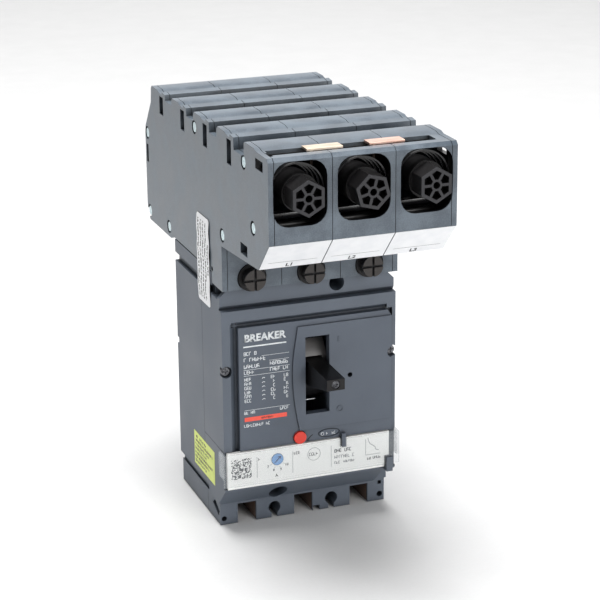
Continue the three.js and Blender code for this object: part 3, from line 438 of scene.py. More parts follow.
@dataclass(frozen=True)
class ClearMoulding:
    """Clear polycarbonate: thin walls let most light straight through.

    Its edges and folds read as grey lines, its faces as a faint gloss.
    """

    name: str
    tint: str
    edge: str
    clear: float = 0.1
    dense: float = 0.75
    haze_mm: float = 6.0
    ior: float = 1.58
    roughness: float = 0.08

    def make(self) -> bpy.types.Material:
        """Build the material."""
        material, tree, shader, place = new_material(self.name)
        glance = node(tree, "ShaderNodeLayerWeight", {"Blend": 0.35}).outputs["Facing"]
        haze = noise(tree, place, self.haze_mm, 2.0)
        feed(tree, shader, {
            "Base Color": ramp(tree, glance, [(0.35, self.tint), (0.9, self.edge)]), "IOR": self.ior,
            "Alpha": spread(tree, glance, (0.3, 0.95), (self.clear, self.dense)),
            "Roughness": spread(tree, haze, (0.0, 1.0), (self.roughness, self.roughness + 0.06))})
        return material


# Painted shade on the bolt chambers' walls and on the clips below the roof; wear and painted sheen on the bolts' front
# webs; lighter front faces on the terminal screws' heads.
# Painted shade: near black inside the bolt chambers.
CHAMBER_SHADE = Zone("08080a", x=(-52.0, 52.0), y=(-166.6, -136.0), z=(199.0, 239.4))
# Bolts' front webs: grey from wear plus painted sheen.
BOLT_FACE_WEAR_AND_SHEEN = Zone("323235", y=(-181.0, -179.6))
SCREW_FACE = Zone("3b3735", y=(-96.0, -94.4), z=(146.0, 162.0))
SHADE_BELOW_ROOF = Zone("241f1c", z=(0.0, 238.6))

FINISHES = {
    # Glass-filled polyamide of the breaker's mouldings: blue-grey, satin, with painted shade in its recesses.
    "case_grey": MouldedPlastic("case_polyamide", "575f6a", "5f6772", "4f5762", 0.5, shade_recess_mm=5.0),
    # The raised cover is a touch darker and smoother, with painted shade in its recesses.
    "plate_grey": MouldedPlastic("cover_polyamide", "515965", "58606b", "49515c", 0.46, 0.4, 0.09, shade_recess_mm=3.0),
    # Adapter modules: greener grey with cloudy flow marks, painted shade near black inside the bolt chambers and
    # painted shade in the grooves.
    "adapter_grey": MouldedPlastic(
        "adapter_polyester", "5a646e", "66717b", "4c5660", 0.36, 0.6, 0.14, 17.0,
        zones=(CHAMBER_SHADE,), shade_recess_mm=16.0, shade_recess_share=0.08, shade_recess_start=0.38, contrast=0.09),
    # White printed face of the trip unit.
    "white_panel": MouldedPlastic("panel_polycarbonate", "f6f6f3", "faf9f7", "f0f0ed", 0.42, 0.4, 0.04, 60.0),
    "clear_plastic": ClearMoulding("cover_clear_polycarbonate", "dfe6ea", "8a949c"),
    "blue_plastic": MouldedPlastic("dial_acetal", "6ba0d8", "78abe0", "6094cc", 0.4, 0.3, 0.05),
    "red_plastic": MouldedPlastic("button_acetal", "e03a2a", "ee4c39", "cf3020", 0.35, 0.3, 0.05),
    # Black mouldings: toggle, clamp bolts and terminal screws; the bolts' front webs are grey from wear and painted
    # sheen, and the screws' heads are lighter on their front faces.
    "black_plastic": MouldedPlastic(
        "black_polyamide", "111011", "181617", "0b0a0b", 0.38, 0.35, 0.1, zones=(BOLT_FACE_WEAR_AND_SHEEN, SCREW_FACE), gloss=0.28),
    "shutter_grey": ShutterSheet("shutter_vulcanised_sheet", "666463", "1c1c1e", 99.0, 1.2),
    # Screws: dark steel, darkened further as painted shade for the screws that sit in shadow.
    "steel": PlatedMetal("blackened_steel_and_painted_shade", "77787c", "353538", 0.36),
    "zinc_steel": PlatedMetal("zinc_plated_rivet", "dcebee", "aabfc5", 0.35),
    # Link clips: below the roof they turn near black, a painted shade.
    "brass": PlatedMetal("tinned_brass", "f3e3d0", "e4cbb0", 0.34, (16.0, 4.0, 4.0), (SHADE_BELOW_ROOF,)),
    "copper": PlatedMetal("rolled_copper", "f3d0c0", "e2b19b", 0.34, (16.0, 4.0, 4.0), (SHADE_BELOW_ROOF,)),
    "fibre": MouldedPlastic("arc_chute_fibre", "c9b79a", "d4c3a8", "b9a688", 0.7),
}

# Screen-printed inks and label films.
INKS = {
    "white_ink": PrintedSheet("white_ink", "e4e8ea", "cfd4d8"),
    "grey_ink": PrintedSheet("grey_ink", "77797d", "66686c"),
    "faint_ink": PrintedSheet("faint_grey_ink", "96989a", "8a8c8e"),
    "dark_ink": PrintedSheet("dark_ink", "3a3b3e", "2c2d30"),
    "black_ink": PrintedSheet("black_ink", "151517", "0e0e10"),
    "blue_ink": PrintedSheet("dark_blue_ink", "1f3f74", "183463"),
    "red_ink": PrintedSheet("red_film", "f45c4b", "ec5241"),
    "label_white": PrintedSheet("label_film", "e6e7e9", "dddfe2", 0.35, 8.0),
    "label_lime": PrintedSheet("lime_label_film", "dfeb76", "d3e06a", 0.4, 8.0),
    "label_rows": PrintedRows("packing_label_film", "e9eaec", "2c2d30", 2.1, 1.1, (
        Zone("000000", y=(-62.0, -46.5), z=(134.0, 180.0)), Zone("000000", y=(-66.0, -62.0), z=(150.0, 168.0)))),
}

# Pieces that are neither printed nor in the record: thin brown sheets in the foot gaps, ribs and rails coloured near
# black as painted shade in the chambers, and a bar whose bright steel is a painted highlight.
EXTRAS = {
    # Brown faces on the walls of the gaps between the feet.
    "liner_brown": MouldedPlastic("gap_wall_brown", "5a473d", "665246", "4a3930", 0.55, 0.6, 0.12),
    "shadow_black": MouldedPlastic("chamber_painted_shade_black", "101012", "17171a", "0a0a0b", 0.22, 0.8, 0.1),
    # Painted highlight: the bright bar in the toggle's window.
    "highlight_steel": PlatedMetal("window_bar_painted_highlight", "a9abac", "848688", 0.3),
}


# ---- Drawing on faces -----------------------------------------------------


class Face(Enum):
    """A side of the object that something is printed on: its u and v axes."""

    FRONT = ((1.0, 0.0, 0.0), (0.0, 0.0, 1.0))
    LEFT = ((0.0, -1.0, 0.0), (0.0, 0.0, 1.0))
    CHAMFER = ((1.0, 0.0, 0.0), (0.0, -0.6946, 0.7194))

    def matrix(self, origin: Vector, lift: float) -> Matrix:
        """Where a flat drawing lies on this face.

        Args:
            origin: place of its middle, in metres.
            lift: how far it stands off the face, in metres.

        Returns:
            The drawing's placement.
        """
        u_axis, v_axis = (Vector(axis) for axis in self.value)
        out = u_axis.cross(v_axis)
        return Matrix.Translation(origin + out * lift) @ Matrix((u_axis, v_axis, out)).transposed().to_4x4()


class Ink:
    """Flat marks drawn on one face, in millimetres, gathered in one mesh."""

    def __init__(self, name: str, face: Face, origin: Vector, seed: int = 1) -> None:
        """Start a drawing.

        Args:
            name: name of the finished piece.
            face: the face it lies on.
            origin: where u = v = 0 lies, in metres.
            seed: start of the random strokes of small rows.
        """
        self.name = name
        self.face = face
        self.origin = origin
        self.random = random.Random(seed)
        self.parts: list[bpy.types.Object] = []
        self.sheet: bpy.types.Object | None = None

    def _edit(self) -> None:
        """Be in edit mode on the drawing's mesh, with nothing selected."""
        if self.sheet is None:
            deselect()
            bpy.ops.mesh.primitive_plane_add(size=mm(1))
            self.sheet = bpy.context.object
            self.sheet.name = self.name
            bpy.ops.object.mode_set(mode="EDIT")
            bpy.ops.mesh.select_all(action="SELECT")
            bpy.ops.mesh.delete(type="VERT")
        if bpy.context.mode != "EDIT_MESH":
            activate(self.sheet)
            bpy.ops.object.mode_set(mode="EDIT")
        bpy.ops.mesh.select_all(action="DESELECT")

    def line(self, u0: float, v0: float, u1: float, v1: float, width: float) -> None:
        """Draw a straight stroke between two points."""
        self._edit()
        length = math.hypot(u1 - u0, v1 - v0)
        bpy.ops.mesh.primitive_plane_add(size=1)
        bpy.ops.transform.resize(value=(mm(length), mm(width), 1), center_override=(0, 0, 0))
        if v0 != v1:
            turn = math.atan2(v1 - v0, u1 - u0)
            bpy.ops.transform.rotate(value=-turn, orient_axis="Z", center_override=(0, 0, 0))
        bpy.ops.transform.translate(value=(mm((u0 + u1) / 2), mm((v0 + v1) / 2), 0))

    def block(self, u0: float, u1: float, v0: float, v1: float) -> None:
        """Draw a filled rectangle."""
        self.line(u0, (v0 + v1) / 2, u1, (v0 + v1) / 2, v1 - v0)

    def ring(self, u: float, v: float, radius: float, width: float, steps: int = 40) -> None:
        """Draw a circle of a given line width."""
        self._edit()
        bpy.ops.mesh.primitive_circle_add(
            vertices=steps, radius=mm(radius), fill_type="NGON", location=(mm(u), mm(v), 0))
        bpy.ops.mesh.inset(thickness=mm(width))
        bpy.ops.mesh.delete(type="FACE")

    def word(self, u: float, v: float, right: float, height: float) -> None:
        """Draw a row of tiny signs that reads as fine print from afar.

        Each sign has a stem and a few random strokes, so that none of it spells anything.

        Args:
            u: left end of the row.
            v: its foot.
            right: its right end.
            height: how tall it is.
        """
        wide = height * 0.55
        pen = height * 0.2
        step = height * 0.82
        for i in range(max(1, round((right - u) / step))):
            left = u + i * step
            if self.random.random() < FINE_PRINT_SKIP:
                continue
            self.line(left, v, left, v + height, pen)
            for share in [share for share in (0.0, 0.5, 1.0) if self.random.random() < 0.5] or [0.5]:
                self.line(left, v + height * share, left + wide, v + height * share, pen)
            if self.random.random() < 0.45:
                self.line(left + wide, v, left + wide, v + height * self.random.choice((0.5, 1.0)), pen)

    def text(self, words: str, u: float, v: float, size: float, bold: float = 0.0) -> None:
        """Write a few generic characters, centred on a point.

        Args:
            words: what is written.
            u: middle of the line.
            v: its foot.
            size: height of the type.
            bold: how much wider each edge of the strokes lies.
        """
        deselect()
        bpy.ops.object.text_add(location=(mm(u), mm(v), 0))
        letters = bpy.context.object
        letters.data.body = words
        letters.data.size = mm(size)
        letters.data.align_x = "CENTER"
        letters.data.resolution_u = 3
        letters.data.offset = mm(bold)
        bpy.ops.object.convert(target="MESH")
        bpy.ops.object.transform_apply(location=True, rotation=True, scale=True)
        self.parts.append(bpy.context.object)

    def finish(self, ink: bpy.types.Material, body: str, thickness: float = 0.04) -> bpy.types.Object:
        """Give the marks their thickness, ink and place.

        Args:
            ink: the material.
            body: the body they ride on.
            thickness: in millimetres.

        Returns:
            The finished piece.
        """
        if self.sheet is None:
            self.sheet = self.parts.pop(0)
            self.sheet.name = self.name
        activate(self.sheet)
        for part in self.parts:
            part.select_set(True)
        if self.parts:
            bpy.ops.object.join()
        bpy.ops.object.mode_set(mode="EDIT")
        bpy.ops.mesh.select_all(action="SELECT")
        bpy.ops.mesh.normals_make_consistent(inside=False)
        bpy.ops.object.mode_set(mode="OBJECT")
        solid = self.sheet.modifiers.new("film", "SOLIDIFY")
        solid.thickness = mm(thickness)
        solid.offset = 0.0
        bpy.ops.object.modifier_apply(modifier=solid.name)
        self.sheet.matrix_world = self.face.matrix(self.origin, mm(thickness / 2 + 0.02))
        return settle(self.sheet, ink, body)


def settle(piece: bpy.types.Object, finish: bpy.types.Material, body: str) -> bpy.types.Object:
    """Bring a piece's place into its mesh, dress it and let it ride.

    Args:
        piece: the finished object.
        finish: its material.
        body: the body that it moves with.

    Returns:
        The piece.
    """
    activate(piece)
    bpy.ops.object.transform_apply(location=True, rotation=True, scale=True)
    piece.data.materials.clear()
    piece.data.materials.append(finish)
    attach(piece, body)
    log.info("%s rides on %s", piece.name, body)
    return piece


def edge_bevel(piece: bpy.types.Object, radius: float, angle: float) -> bpy.types.Modifier:
    """Add a live bevel to a piece's sharp edges.

    Args:
        piece: the object.
        radius: bevel width in millimetres.
        angle: edges sharper than this many degrees are rounded.

    Returns:
        The modifier.
    """
    bevel = piece.modifiers.new("edges", "BEVEL")
    bevel.width = mm(radius)
    bevel.segments = 2
    bevel.limit_method = "ANGLE"
    bevel.angle_limit = math.radians(angle)
    return bevel


def soften(piece: bpy.types.Object, radius: float, angle: float = 35.0) -> None:
    """Round a new piece's edges and shade it smooth.

    Args:
        piece: the object.
        radius: bevel width in millimetres.
        angle: edges sharper than this many degrees are rounded.
    """
    activate(piece)
    bevel = edge_bevel(piece, radius, angle)
    bpy.ops.object.modifier_apply(modifier=bevel.name)
    bpy.ops.object.shade_smooth_by_angle(angle=math.radians(angle))


def bar(name: str, low: tuple[float, float, float], high: tuple[float, float, float],
        radius: float) -> bpy.types.Object:
    """Make a rectangular bar between two corners, with rounded edges.

    Args:
        name: the piece's name.
        low: lowest corner in millimetres, with its height above the feet.
        high: highest corner.
        radius: of its edges.

    Returns:
        The bar.
    """
    deselect()
    size = [b - a for a, b in zip(low, high)]
    middle = [(a + b) / 2 for a, b in zip(low, high)]
    bpy.ops.mesh.primitive_cube_add(
        size=1, location=(mm(middle[0]), mm(middle[1]), up(middle[2])), scale=tuple(mm(s) for s in size))
    made = bpy.context.object
    made.name = name
    bpy.ops.object.transform_apply(location=True, rotation=True, scale=True)
    soften(made, radius)
    return made


# ---- The object's pieces --------------------------------------------------


@dataclass
class Housings:
    """The CAD nodes: their finishes and their rounded edges."""

    frame: dict
    finishes: dict[str, bpy.types.Material]
    edges_mm: dict[str, float] = field(default_factory=lambda: {
        "case_grey": 0.5, "plate_grey": 0.4, "adapter_grey": 0.7, "white_panel": 0.15,
        "clear_plastic": 0.2, "black_plastic": 0.3, "blue_plastic": 0.25, "red_plastic": 0.4,
        "steel": 0.12, "zinc_steel": 0.2, "brass": 0.15, "copper": 0.15, "shutter_grey": 0.1, "fibre": 0.1,
    })
    weld_mm: float = 0.005
    flat_deg: float = 0.5
    edge_deg: float = 32.0

    def dress(self) -> None:
        """Give each CAD node its finish and rounding."""
        slots = {part["node"]: part["material_slot"] for part in self.frame["record"]["subparts"]}
        for name, piece in self.frame["nodes"].items():
            slot = slots[name]
            piece.data.materials.clear()
            piece.data.materials.append(self.finishes[slot])
            self._round(piece, self.edges_mm[slot])

    def _round(self, piece: bpy.types.Object, width: float) -> None:
        """Add live modifiers that round the edges of one node.

        Args:
            piece: the node.
            width: bevel width in millimetres.
        """
        activate(piece)
        bpy.ops.mesh.customdata_custom_splitnormals_clear()
        bpy.ops.object.shade_smooth()
        weld = piece.modifiers.new("weld", "WELD")
        weld.merge_threshold = mm(self.weld_mm)
        flat = piece.modifiers.new("flat", "DECIMATE")
        flat.decimate_type = "DISSOLVE"
        flat.angle_limit = math.radians(self.flat_deg)
        bevel = edge_bevel(piece, width, self.edge_deg)
        bevel.harden_normals = True
        bevel.use_clamp_overlap = True
        bevel.loop_slide = False


@dataclass
class RatingLabel:
    """The printed zone at the left of the raised cover.

    Rows give left end, foot, right end and height; rules left end, height and right end.
    """

    inks: dict[str, bpy.types.Material]
    title: tuple[float, float, float] = (-27.4, 116.0, 6.0)
    title_rule: tuple[float, float, float, float] = (-40.2, -14.6, 112.6, 113.4)
    rules: tuple[tuple[float, float, float], ...] = (
        (-29.4, 106.7, -13.0), (-25.0, 103.4, -13.0), (-40.2, 99.2, -12.8), (-40.2, 95.7, -12.8), (-40.2, 74.9, -12.8))
    rows: tuple[tuple[float, float, float, float], ...] = (
        (-39.9, 107.9, -29.8, 1.9), (-39.9, 104.2, -26.2, 2.0), (-39.9, 100.3, -30.5, 1.9),
        (-24.4, 100.7, -12.9, 1.9), (-39.9, 96.7, -33.7, 1.9), (-24.4, 97.0, -12.9, 1.9),
        (-40.2, 72.6, -33.6, 1.6), (-18.7, 72.7, -14.0, 1.6), (-40.4, 64.8, -25.1, 1.6),
    )
    table_rows: int = 6
    table_top: float = 92.6
    table_step: float = 2.56
    table_print: float = 1.7
    band: tuple[float, float, float, float] = (-40.1, -14.7, 68.1, 70.6)
    band_row: tuple[float, float, float, float] = (-30.0, 68.9, -22.5, 0.9)

    def build(self) -> None:
        """Print its title block, rules, rows and coloured band."""
        origin = Vector((0, mm(COVER_FACE), up(0)))
        white = Ink("rating_print_white", Face.FRONT, origin, seed=4)
        white.text("BREAKER", *self.title, bold=0.25)
        white.block(*self.title_rule)
        for left, height, right in self.rules:
            white.line(left, height, right, height, 0.2)
        for row in self.rows:
            white.word(*row)
        for row in range(self.table_rows):
            self._table_row(white, self.table_top - row * self.table_step)
        white.finish(self.inks["white_ink"], BODY)
        red = Ink("rating_band", Face.FRONT, origin)
        red.block(*self.band)
        red.finish(self.inks["red_ink"], BODY)
        marks = Ink("rating_band_marks", Face.FRONT, origin + Vector((0, mm(-0.05), 0)), seed=9)
        marks.word(*self.band_row)
        marks.finish(self.inks["dark_ink"], BODY)

    def _table_row(self, white: Ink, foot: float) -> None:
        """Print one row of the table: a name, a small wave and two values.

        Args:
            white: the drawing.
            foot: the row's foot.
        """
        white.word(-39.8, foot, -36.0, self.table_print)
        white.line(-29.4, foot + 0.5, -28.4, foot + 1.1, 0.35)
        white.line(-28.4, foot + 1.1, -27.6, foot + 0.6, 0.35)
        white.word(-24.0, foot, -21.2, self.table_print)
        white.word(-16.2, foot, -13.6, self.table_print)


@dataclass
class TripPanelPrint:
    """Scale, rules and diagrams on the white front of the trip unit.

    Rows give left end, foot, right end and height; polylines their points.
    """

    inks: dict[str, bpy.types.Material]
    panel_face: float = -88.0
    cells: int = 23
    dots_side: float = 12.2
    dots_corner: tuple[float, float] = (-49.1, 34.0)
    dots_share: float = 0.46
    separators: tuple[float, ...] = (-33.5, -11.8, 11.9)
    axes: tuple[tuple[float, float], ...] = ((33.4, 47.0), (33.4, 37.0), (42.5, 37.0))
    curve: tuple[tuple[float, float], ...] = (
        (34.8, 47.6), (35.2, 45.6), (36.2, 43.8), (37.8, 42.6), (39.2, 41.7), (39.8, 39.8), (41.6, 39.2))
    dark_rows: tuple[tuple[float, float, float, float], ...] = (
        (-32.6, 43.6, -30.6, 1.7), (-11.0, 44.2, -7.2, 1.6), (-1.6, 41.9, 4.2, 1.7),
        (14.0, 41.6, 25.6, 1.9), (34.4, 34.0, 36.4, 1.5), (38.0, 34.2, 42.4, 1.5))
    pale_rows: tuple[tuple[float, float, float, float], ...] = (
        (14.0, 37.8, 26.8, 1.7), (14.0, 34.4, 17.6, 1.5), (19.4, 34.6, 26.4, 1.3))
    dial: tuple[float, float] = (-21.1, 42.8)
    first_tick_deg: float = 215.0
    tick_step_deg: float = 36.0

    def build(self) -> None:
        """Print everything on the panel."""
        origin = Vector((0, mm(self.panel_face), up(0)))
        self._dot_field(origin)
        rules = Ink("panel_rules", Face.FRONT, origin)
        for u in self.separators:
            rules.line(u, 33.0, u, 46.2, 0.28)
        rules.ring(1.3, 42.7, 4.0, 0.3)
        for points, width in ((self.axes, 0.3), (self.curve, 0.42)):
            for start, end in zip(points, points[1:]):
                rules.line(*start, *end, width)
        rules.finish(self.inks["faint_ink"], BODY)
        for name, seed, rows, ink in (("panel_marks", 5, self.dark_rows, "dark_ink"),
                                      ("panel_fine_print", 8, self.pale_rows, "grey_ink")):
            marks = Ink(name, Face.FRONT, origin, seed=seed)
            for row in rows:
                marks.word(*row)
            marks.finish(self.inks[ink], BODY)
        self._dial_scale(origin)

    def _dot_field(self, origin: Vector) -> None:
        """Print a square of random dots."""
        dots = Ink("panel_dot_field", Face.FRONT, origin, seed=12)
        size = self.dots_side / self.cells
        left, foot = self.dots_corner
        for row in range(self.cells):
            for column in range(self.cells):
                if dots.random.random() < self.dots_share:
                    dots.block(left + column * size, left + (column + 1) * size,
                               foot + row * size, foot + (row + 1) * size)
        dots.finish(self.inks["dark_ink"], BODY)

    def _dial_scale(self, origin: Vector) -> None:
        """Print the ticks and numbers around the lower half of the dial, and its arrow."""
        scale = Ink("dial_scale", Face.FRONT, origin)
        u, v = self.dial
        for i, number in enumerate(("7", "8", "9", "10")):
            angle = math.radians(self.first_tick_deg + i * self.tick_step_deg)
            across, along = math.cos(angle), math.sin(angle)
            scale.line(u + 4.6 * across, v + 4.6 * along, u + 5.3 * across, v + 5.3 * along, 0.25)
            scale.text(number, u + 7.0 * across, v + 6.6 * along - 0.7, 2.2, bold=0.05)
        scale.text("A", u - 0.6, v - 10.6, 2.4, bold=0.08)
        scale.finish(self.inks["dark_ink"], BODY)
        # The dial's face stands 0.42 mm out of the panel.
        arrow = Ink("dial_arrow", Face.FRONT, origin + Vector((0, mm(-0.42), 0)))
        arrow.line(u - 1.9, v - 1.9, u + 1.9, v + 1.9, 0.5)
        arrow.line(u + 1.9, v + 1.9, u + 0.3, v + 1.7, 0.45)
        arrow.line(u + 1.9, v + 1.9, u + 1.7, v + 0.3, 0.45)
        arrow.finish(self.inks["blue_ink"], "thermal_dial")


@dataclass
class CoverPrint:
    """Small marks on the raised cover, beside the button and in the oval."""

    inks: dict[str, bpy.types.Material]
    pointer: tuple[tuple[float, float, float, float, float], ...] = (
        (-2.9, 50.9, -0.2, 53.8, 0.6), (-0.2, 53.8, 1.0, 54.4, 0.5), (-2.9, 50.9, -1.2, 51.2, 0.6))

    def build(self) -> None:
        """Print the button's pointer and the oval's marks."""
        front = Vector((0, mm(COVER_FACE), up(0)))
        pointer = Ink("button_pointer", Face.FRONT, front)
        for stroke in self.pointer:
            pointer.line(*stroke)
        pointer.finish(self.inks["black_ink"], BODY)
        oval = Ink("oval_marks", Face.FRONT, front, seed=3)
        oval.ring(6.9, 53.9, 1.0, 0.22, 24)
        oval.word(9.4, 53.2, 15.0, 1.4)
        oval.finish(self.inks["white_ink"], BODY)


@dataclass
class WindowStop:
    """Stop bar near the lower end of the toggle's window, bright as a painted highlight."""

    finish: bpy.types.Material
    low: tuple[float, float, float] = (-3.3, -80.2, 73.2)
    high: tuple[float, float, float] = (5.2, -79.4, 73.9)

    def build(self) -> None:
        """Make the bar."""
        settle(bar("window_stop_bar", self.low, self.high, 0.2), self.finish, BODY)


@dataclass
class PhaseLabels:
    """White films on the slanting face under each window of the adapter."""

    inks: dict[str, bpy.types.Material]
    half: float = 17.2
    height: float = 24.1
    low_edge: tuple[float, float] = (-150.7, 178.5)

    def build(self) -> None:
        """Lay the three films and print a rule and a phase mark on each."""
        y, z = self.low_edge
        for number, x in enumerate(POLES, start=1):
            origin = Vector((mm(x), mm(y), up(z)))
            # The first film stops a touch short of the end plate.
            left = -self.half if number > 1 else -self.half + 0.1
            film = Ink(f"phase_label_{number}", Face.CHAMFER, origin)
            film.block(left, self.half, 0.25, self.height - 0.3)
            film.finish(self.inks["label_white"], BODY, 0.12)
            above = origin + Vector((0, mm(-0.1), mm(-0.1)))
            rule = Ink(f"phase_rule_{number}", Face.CHAMFER, above)
            rule.line(-13.6, 6.2, 13.6, 6.2, 0.3)
            rule.finish(self.inks["faint_ink"], BODY)
            mark = Ink(f"phase_mark_{number}", Face.CHAMFER, above)
            mark.text(f"L{number}", -1.0, 1.3, 4.4, bold=0.12)
            mark.finish(self.inks["dark_ink"], BODY)


@dataclass
class SideLabels:
    """The lime label and the creased white label on the left side.

    Creases give a height from the packing label's middle and how far it lifts.
    """

    inks: dict[str, bpy.types.Material]
    case_side: float = -52.5
    lime: tuple[float, float, float, float] = (29.2, 68.0, 23.0, 44.0)
    width: float = 22.0
    height: float = 51.5
    label_middle: tuple[float, float] = (-56.5, 157.2)
    corner: float = 2.2
    paper: float = 0.12
    creases: tuple[tuple[float, float], ...] = ((18.0, 0.3), (6.0, 0.55), (-6.0, 0.2), (-16.0, 0.5))
    crease_reach: float = 8.0

    def build(self) -> None:
        """Lay both labels and print the lime one's small rows."""
        lime = Ink("side_label_lime", Face.LEFT, Vector((mm(self.case_side), 0, up(0))), seed=6)
        lime.block(*self.lime)
        lime.finish(self.inks["label_lime"], BODY, 0.08)
        rows = Ink("side_label_rows", Face.LEFT, Vector((mm(self.case_side - 0.08), 0, up(0))), seed=7)
        for row in range(7):
            rows.word(31.0, 25.0 + row * 2.6, 52.0 + row % 3 * 6, 1.3)
        rows.finish(self.inks["dark_ink"], BODY)
        self._packing_label()

    def _packing_label(self) -> None:
        """Lay a creased paper label across the joint between adapter and case."""
        deselect()
        bpy.ops.mesh.primitive_grid_add(x_subdivisions=8, y_subdivisions=20, size=1)
        label = bpy.context.object
        label.name = "side_label_packing"
        bpy.ops.object.mode_set(mode="EDIT")
        bpy.ops.mesh.select_all(action="SELECT")
        bpy.ops.transform.resize(value=(mm(self.width), mm(self.height), 1), center_override=(0, 0, 0))
        for crease, (height, lift) in enumerate(self.creases):
            self._select_rows(label, mm(height))
            sideways = 0.5 if crease % 2 else -0.4
            for shift in ((0, 0, mm(lift)), (mm(sideways), 0, 0)):
                bpy.ops.transform.translate(
                    value=shift, use_proportional_edit=True,
                    proportional_edit_falloff="SMOOTH", proportional_size=mm(self.crease_reach))
        self._select_corners(label)
        bpy.ops.mesh.bevel(affect="VERTICES", offset=mm(self.corner), segments=5, offset_type="OFFSET")
        bpy.ops.object.mode_set(mode="OBJECT")
        paper = label.modifiers.new("paper", "SOLIDIFY")
        paper.thickness = mm(self.paper)
        paper.offset = 1.0
        bpy.ops.object.modifier_apply(modifier=paper.name)
        bpy.ops.object.shade_smooth_by_angle(angle=math.radians(30))
        middle = Vector((mm(self.case_side - self.paper), mm(self.label_middle[0]), up(self.label_middle[1])))
        label.matrix_world = Face.LEFT.matrix(middle, 0.0)
        settle(label, self.inks["label_rows"], BODY)

    @staticmethod
    def _select_rows(label: bpy.types.Object, height: float) -> None:
        """Select the row of vertices nearest a height of the flat label."""
        bpy.ops.mesh.select_all(action="DESELECT")
        bpy.ops.object.mode_set(mode="OBJECT")
        nearest = min(abs(vertex.co.y - height) for vertex in label.data.vertices)
        for vertex in label.data.vertices:
            vertex.select = abs(vertex.co.y - height) < nearest + mm(0.1)
        bpy.ops.object.mode_set(mode="EDIT")

    @staticmethod
    def _select_corners(label: bpy.types.Object) -> None:
        """Select the four corner vertices of the label."""
        bpy.ops.mesh.select_all(action="DESELECT")
        bpy.ops.object.mode_set(mode="OBJECT")
        links = {v.index: 0 for v in label.data.vertices}
        for edge in label.data.edges:
            for index in edge.vertices:
                links[index] += 1
        for vertex in label.data.vertices:
            vertex.select = links[vertex.index] == 2
        bpy.ops.object.mode_set(mode="EDIT")


@dataclass
class FootLiners:
    """Thin brown sheets on the walls of the gaps between the feet."""

    finish: bpy.types.Material
    gap_half: float = 5.7
    gap_top: float = 12.0
    thickness: float = 0.25
    sunk: float = 0.03
    margin: float = 0.6
    front: float = -71.5
    back: float = -4.0

    def build(self) -> None:
        """Make a thin liner for both walls of each gap."""
        for number, x in enumerate(POLES, start=1):
            for side, name in ((-1, "left"), (1, "right")):
                wall = x + side * self.gap_half
                faces = (wall - side * self.sunk, wall - side * self.thickness)
                low = (min(faces), self.front, self.margin)
                high = (max(faces), self.back, self.gap_top - self.margin)
                made = bar(f"gap_liner_{name}_{number}", low, high, 0.06)
                settle(made, self.finish, BODY)


@dataclass
class Chambers:
    """What shows behind the windows of the adapter: half-round ribs and a rail, coloured near black as painted shade.

    Ribs give a radius around the bolt and a depth.
    """

    finish: bpy.types.Material
    bolt_height: float = 222.4
    ribs: tuple[tuple[float, float], ...] = ((11.6, -150.0), (12.6, -154.0), (13.6, -158.0), (14.5, -162.0))
    rib_section: float = 0.8
    rib_turn: float = math.radians(180)
    rail_low: tuple[float, float, float] = (-14.0, -152.6, 205.2)
    rail_high: tuple[float, float, float] = (14.0, -146.5, 208.4)

    def build(self) -> None:
        """Make the ribs and the rail of each chamber."""
        for number, x in enumerate(POLES, start=1):
            for ring, (radius, y) in enumerate(self.ribs, start=1):
                settle(self._rib(f"chamber_rib_{number}_{ring}", x, y, radius), self.finish, BODY)
            low, high = ((x + corner[0], *corner[1:]) for corner in (self.rail_low, self.rail_high))
            settle(bar(f"chamber_rail_{number}", low, high, 0.5), self.finish, BODY)

    def _rib(self, name: str, x: float, y: float, radius: float) -> bpy.types.Object:
        """Spin a small section half way round the clamp bolt.

        Args:
            name: the piece's name.
            x: middle of the chamber.
            y: depth of the rib.
            radius: of its middle line.

        Returns:
            The rib.
        """
        deselect()
        bpy.ops.mesh.primitive_plane_add(
            size=mm(self.rib_section), location=(mm(x + radius), mm(y), up(self.bolt_height)))
        made = bpy.context.object
        made.name = name
        bpy.ops.object.transform_apply(location=True, rotation=True, scale=True)
        bpy.ops.object.mode_set(mode="EDIT")
        bpy.ops.mesh.select_all(action="SELECT")
        bpy.ops.mesh.spin(
            steps=36, angle=self.rib_turn, use_auto_merge=False,
            center=(mm(x), mm(y), up(self.bolt_height)), axis=(0, 1, 0))
        bpy.ops.mesh.select_all(action="SELECT")
        bpy.ops.mesh.remove_doubles(threshold=mm(0.01))
        bpy.ops.mesh.fill_holes(sides=4)
        bpy.ops.mesh.select_all(action="SELECT")
        bpy.ops.mesh.normals_make_consistent(inside=False)
        bpy.ops.object.mode_set(mode="OBJECT")
        bpy.ops.object.shade_smooth_by_angle(angle=math.radians(40))
        return made


# ---- Studio ---------------------------------------------------------------


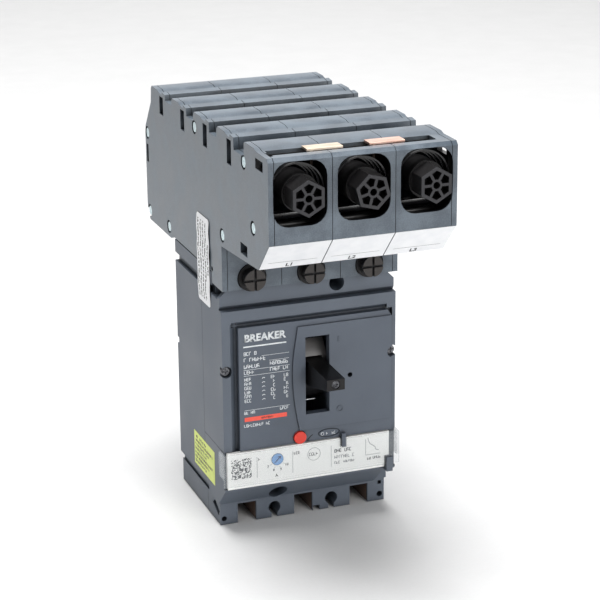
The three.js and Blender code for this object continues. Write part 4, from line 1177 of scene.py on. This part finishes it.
@dataclass
class Studio:
    """Floor, soft lights and the camera.

    Lamps give a name, a place in metres, a power in watts and a side in metres.
    """

    azimuth: float = -20.161
    elevation: float = 18.389
    roll: float = -0.49
    sensor_mm: float = 36.0
    lens_mm: float = 119.778
    eye: tuple[float, float, float] = (-0.3725, -1.0848, 0.4097)
    floor_side: float = 24.0
    floor_gap_mm: float = 0.3
    aim: tuple[float, float, float] = (0.0, -0.05, 0.0)
    sky: float = 0.24
    lamps: tuple[tuple[str, tuple[float, float, float], float, float], ...] = (
        ("key", (-1.9, -1.6, 1.6), 5.0, 1.2),
        ("front_fill", (0.9, -2.4, 0.9), 33.0, 1.4),
        ("top", (-0.1, 0.1, 2.4), 88.0, 1.4),
        ("rear_card", (0.8, 2.5, 0.95), 9.0, 1.6),
    )

    def build(self) -> None:
        """Set up the whole studio."""
        self._camera()
        deselect()
        bpy.ops.mesh.primitive_plane_add(size=self.floor_side, location=(0, 0, up(0) - mm(self.floor_gap_mm)))
        floor = bpy.context.object
        floor.name = "floor"
        paper = MouldedPlastic("floor_paper", "dcdcdc", "dfdfdf", "d9d9d9", 0.9, 2.0, 0.02)
        floor.data.materials.append(paper.make())
        for name, place, power, size in self.lamps:
            self._light(name, place, power, size)
        world = bpy.data.worlds.new("studio")
        bpy.context.scene.world = world
        world.use_nodes = True
        background = world.node_tree.nodes["Background"]
        background.inputs["Color"].default_value = (1, 1, 1, 1)
        background.inputs["Strength"].default_value = self.sky
        bpy.context.scene.view_settings.view_transform = "Standard"

    def _light(self, name: str, place: tuple[float, float, float], power: float, size: float) -> None:
        """Add one soft square light that faces the object."""
        deselect()
        bpy.ops.object.light_add(type="AREA", location=place)
        lamp = bpy.context.object
        lamp.name = name
        lamp.data.energy = power
        lamp.data.size = size
        lamp.rotation_euler = (Vector(self.aim) - Vector(place)).to_track_quat("-Z", "Y").to_euler()

    def _camera(self) -> None:
        """Place the camera and its lens."""
        a, e, r = (math.radians(v) for v in (self.azimuth, self.elevation, self.roll))
        back = Vector((math.sin(a) * math.cos(e), -math.cos(a) * math.cos(e), math.sin(e)))
        right = Vector((0, 0, 1)).cross(back).normalized()
        top = back.cross(right)
        turned_right = math.cos(r) * right + math.sin(r) * top
        turned_top = -math.sin(r) * right + math.cos(r) * top
        place = Matrix((turned_right, turned_top, back)).transposed().to_4x4()
        place.translation = Vector(self.eye)
        deselect()
        bpy.ops.object.camera_add()
        camera = bpy.context.object
        camera.name = "camera"
        camera.data.sensor_width = self.sensor_mm
        camera.data.lens = self.lens_mm
        camera.matrix_world = place
        bpy.context.scene.camera = camera


def main() -> None:
    """Build every sub-assembly in order."""
    logging.basicConfig(level=logging.INFO, format="%(message)s")
    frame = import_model()
    finishes = {slot: finish.make() for slot, finish in FINISHES.items()}
    inks = {name: finish.make() for name, finish in INKS.items()}
    extras = {name: finish.make() for name, finish in EXTRAS.items()}
    Studio().build()
    Housings(frame, finishes).dress()
    RatingLabel(inks).build()
    TripPanelPrint(inks).build()
    CoverPrint(inks).build()
    PhaseLabels(inks).build()
    SideLabels(inks).build()
    FootLiners(extras["liner_brown"]).build()
    Chambers(extras["shadow_black"]).build()
    WindowStop(extras["highlight_steel"]).build()
    deselect()


if __name__ == "__main__":
    main()
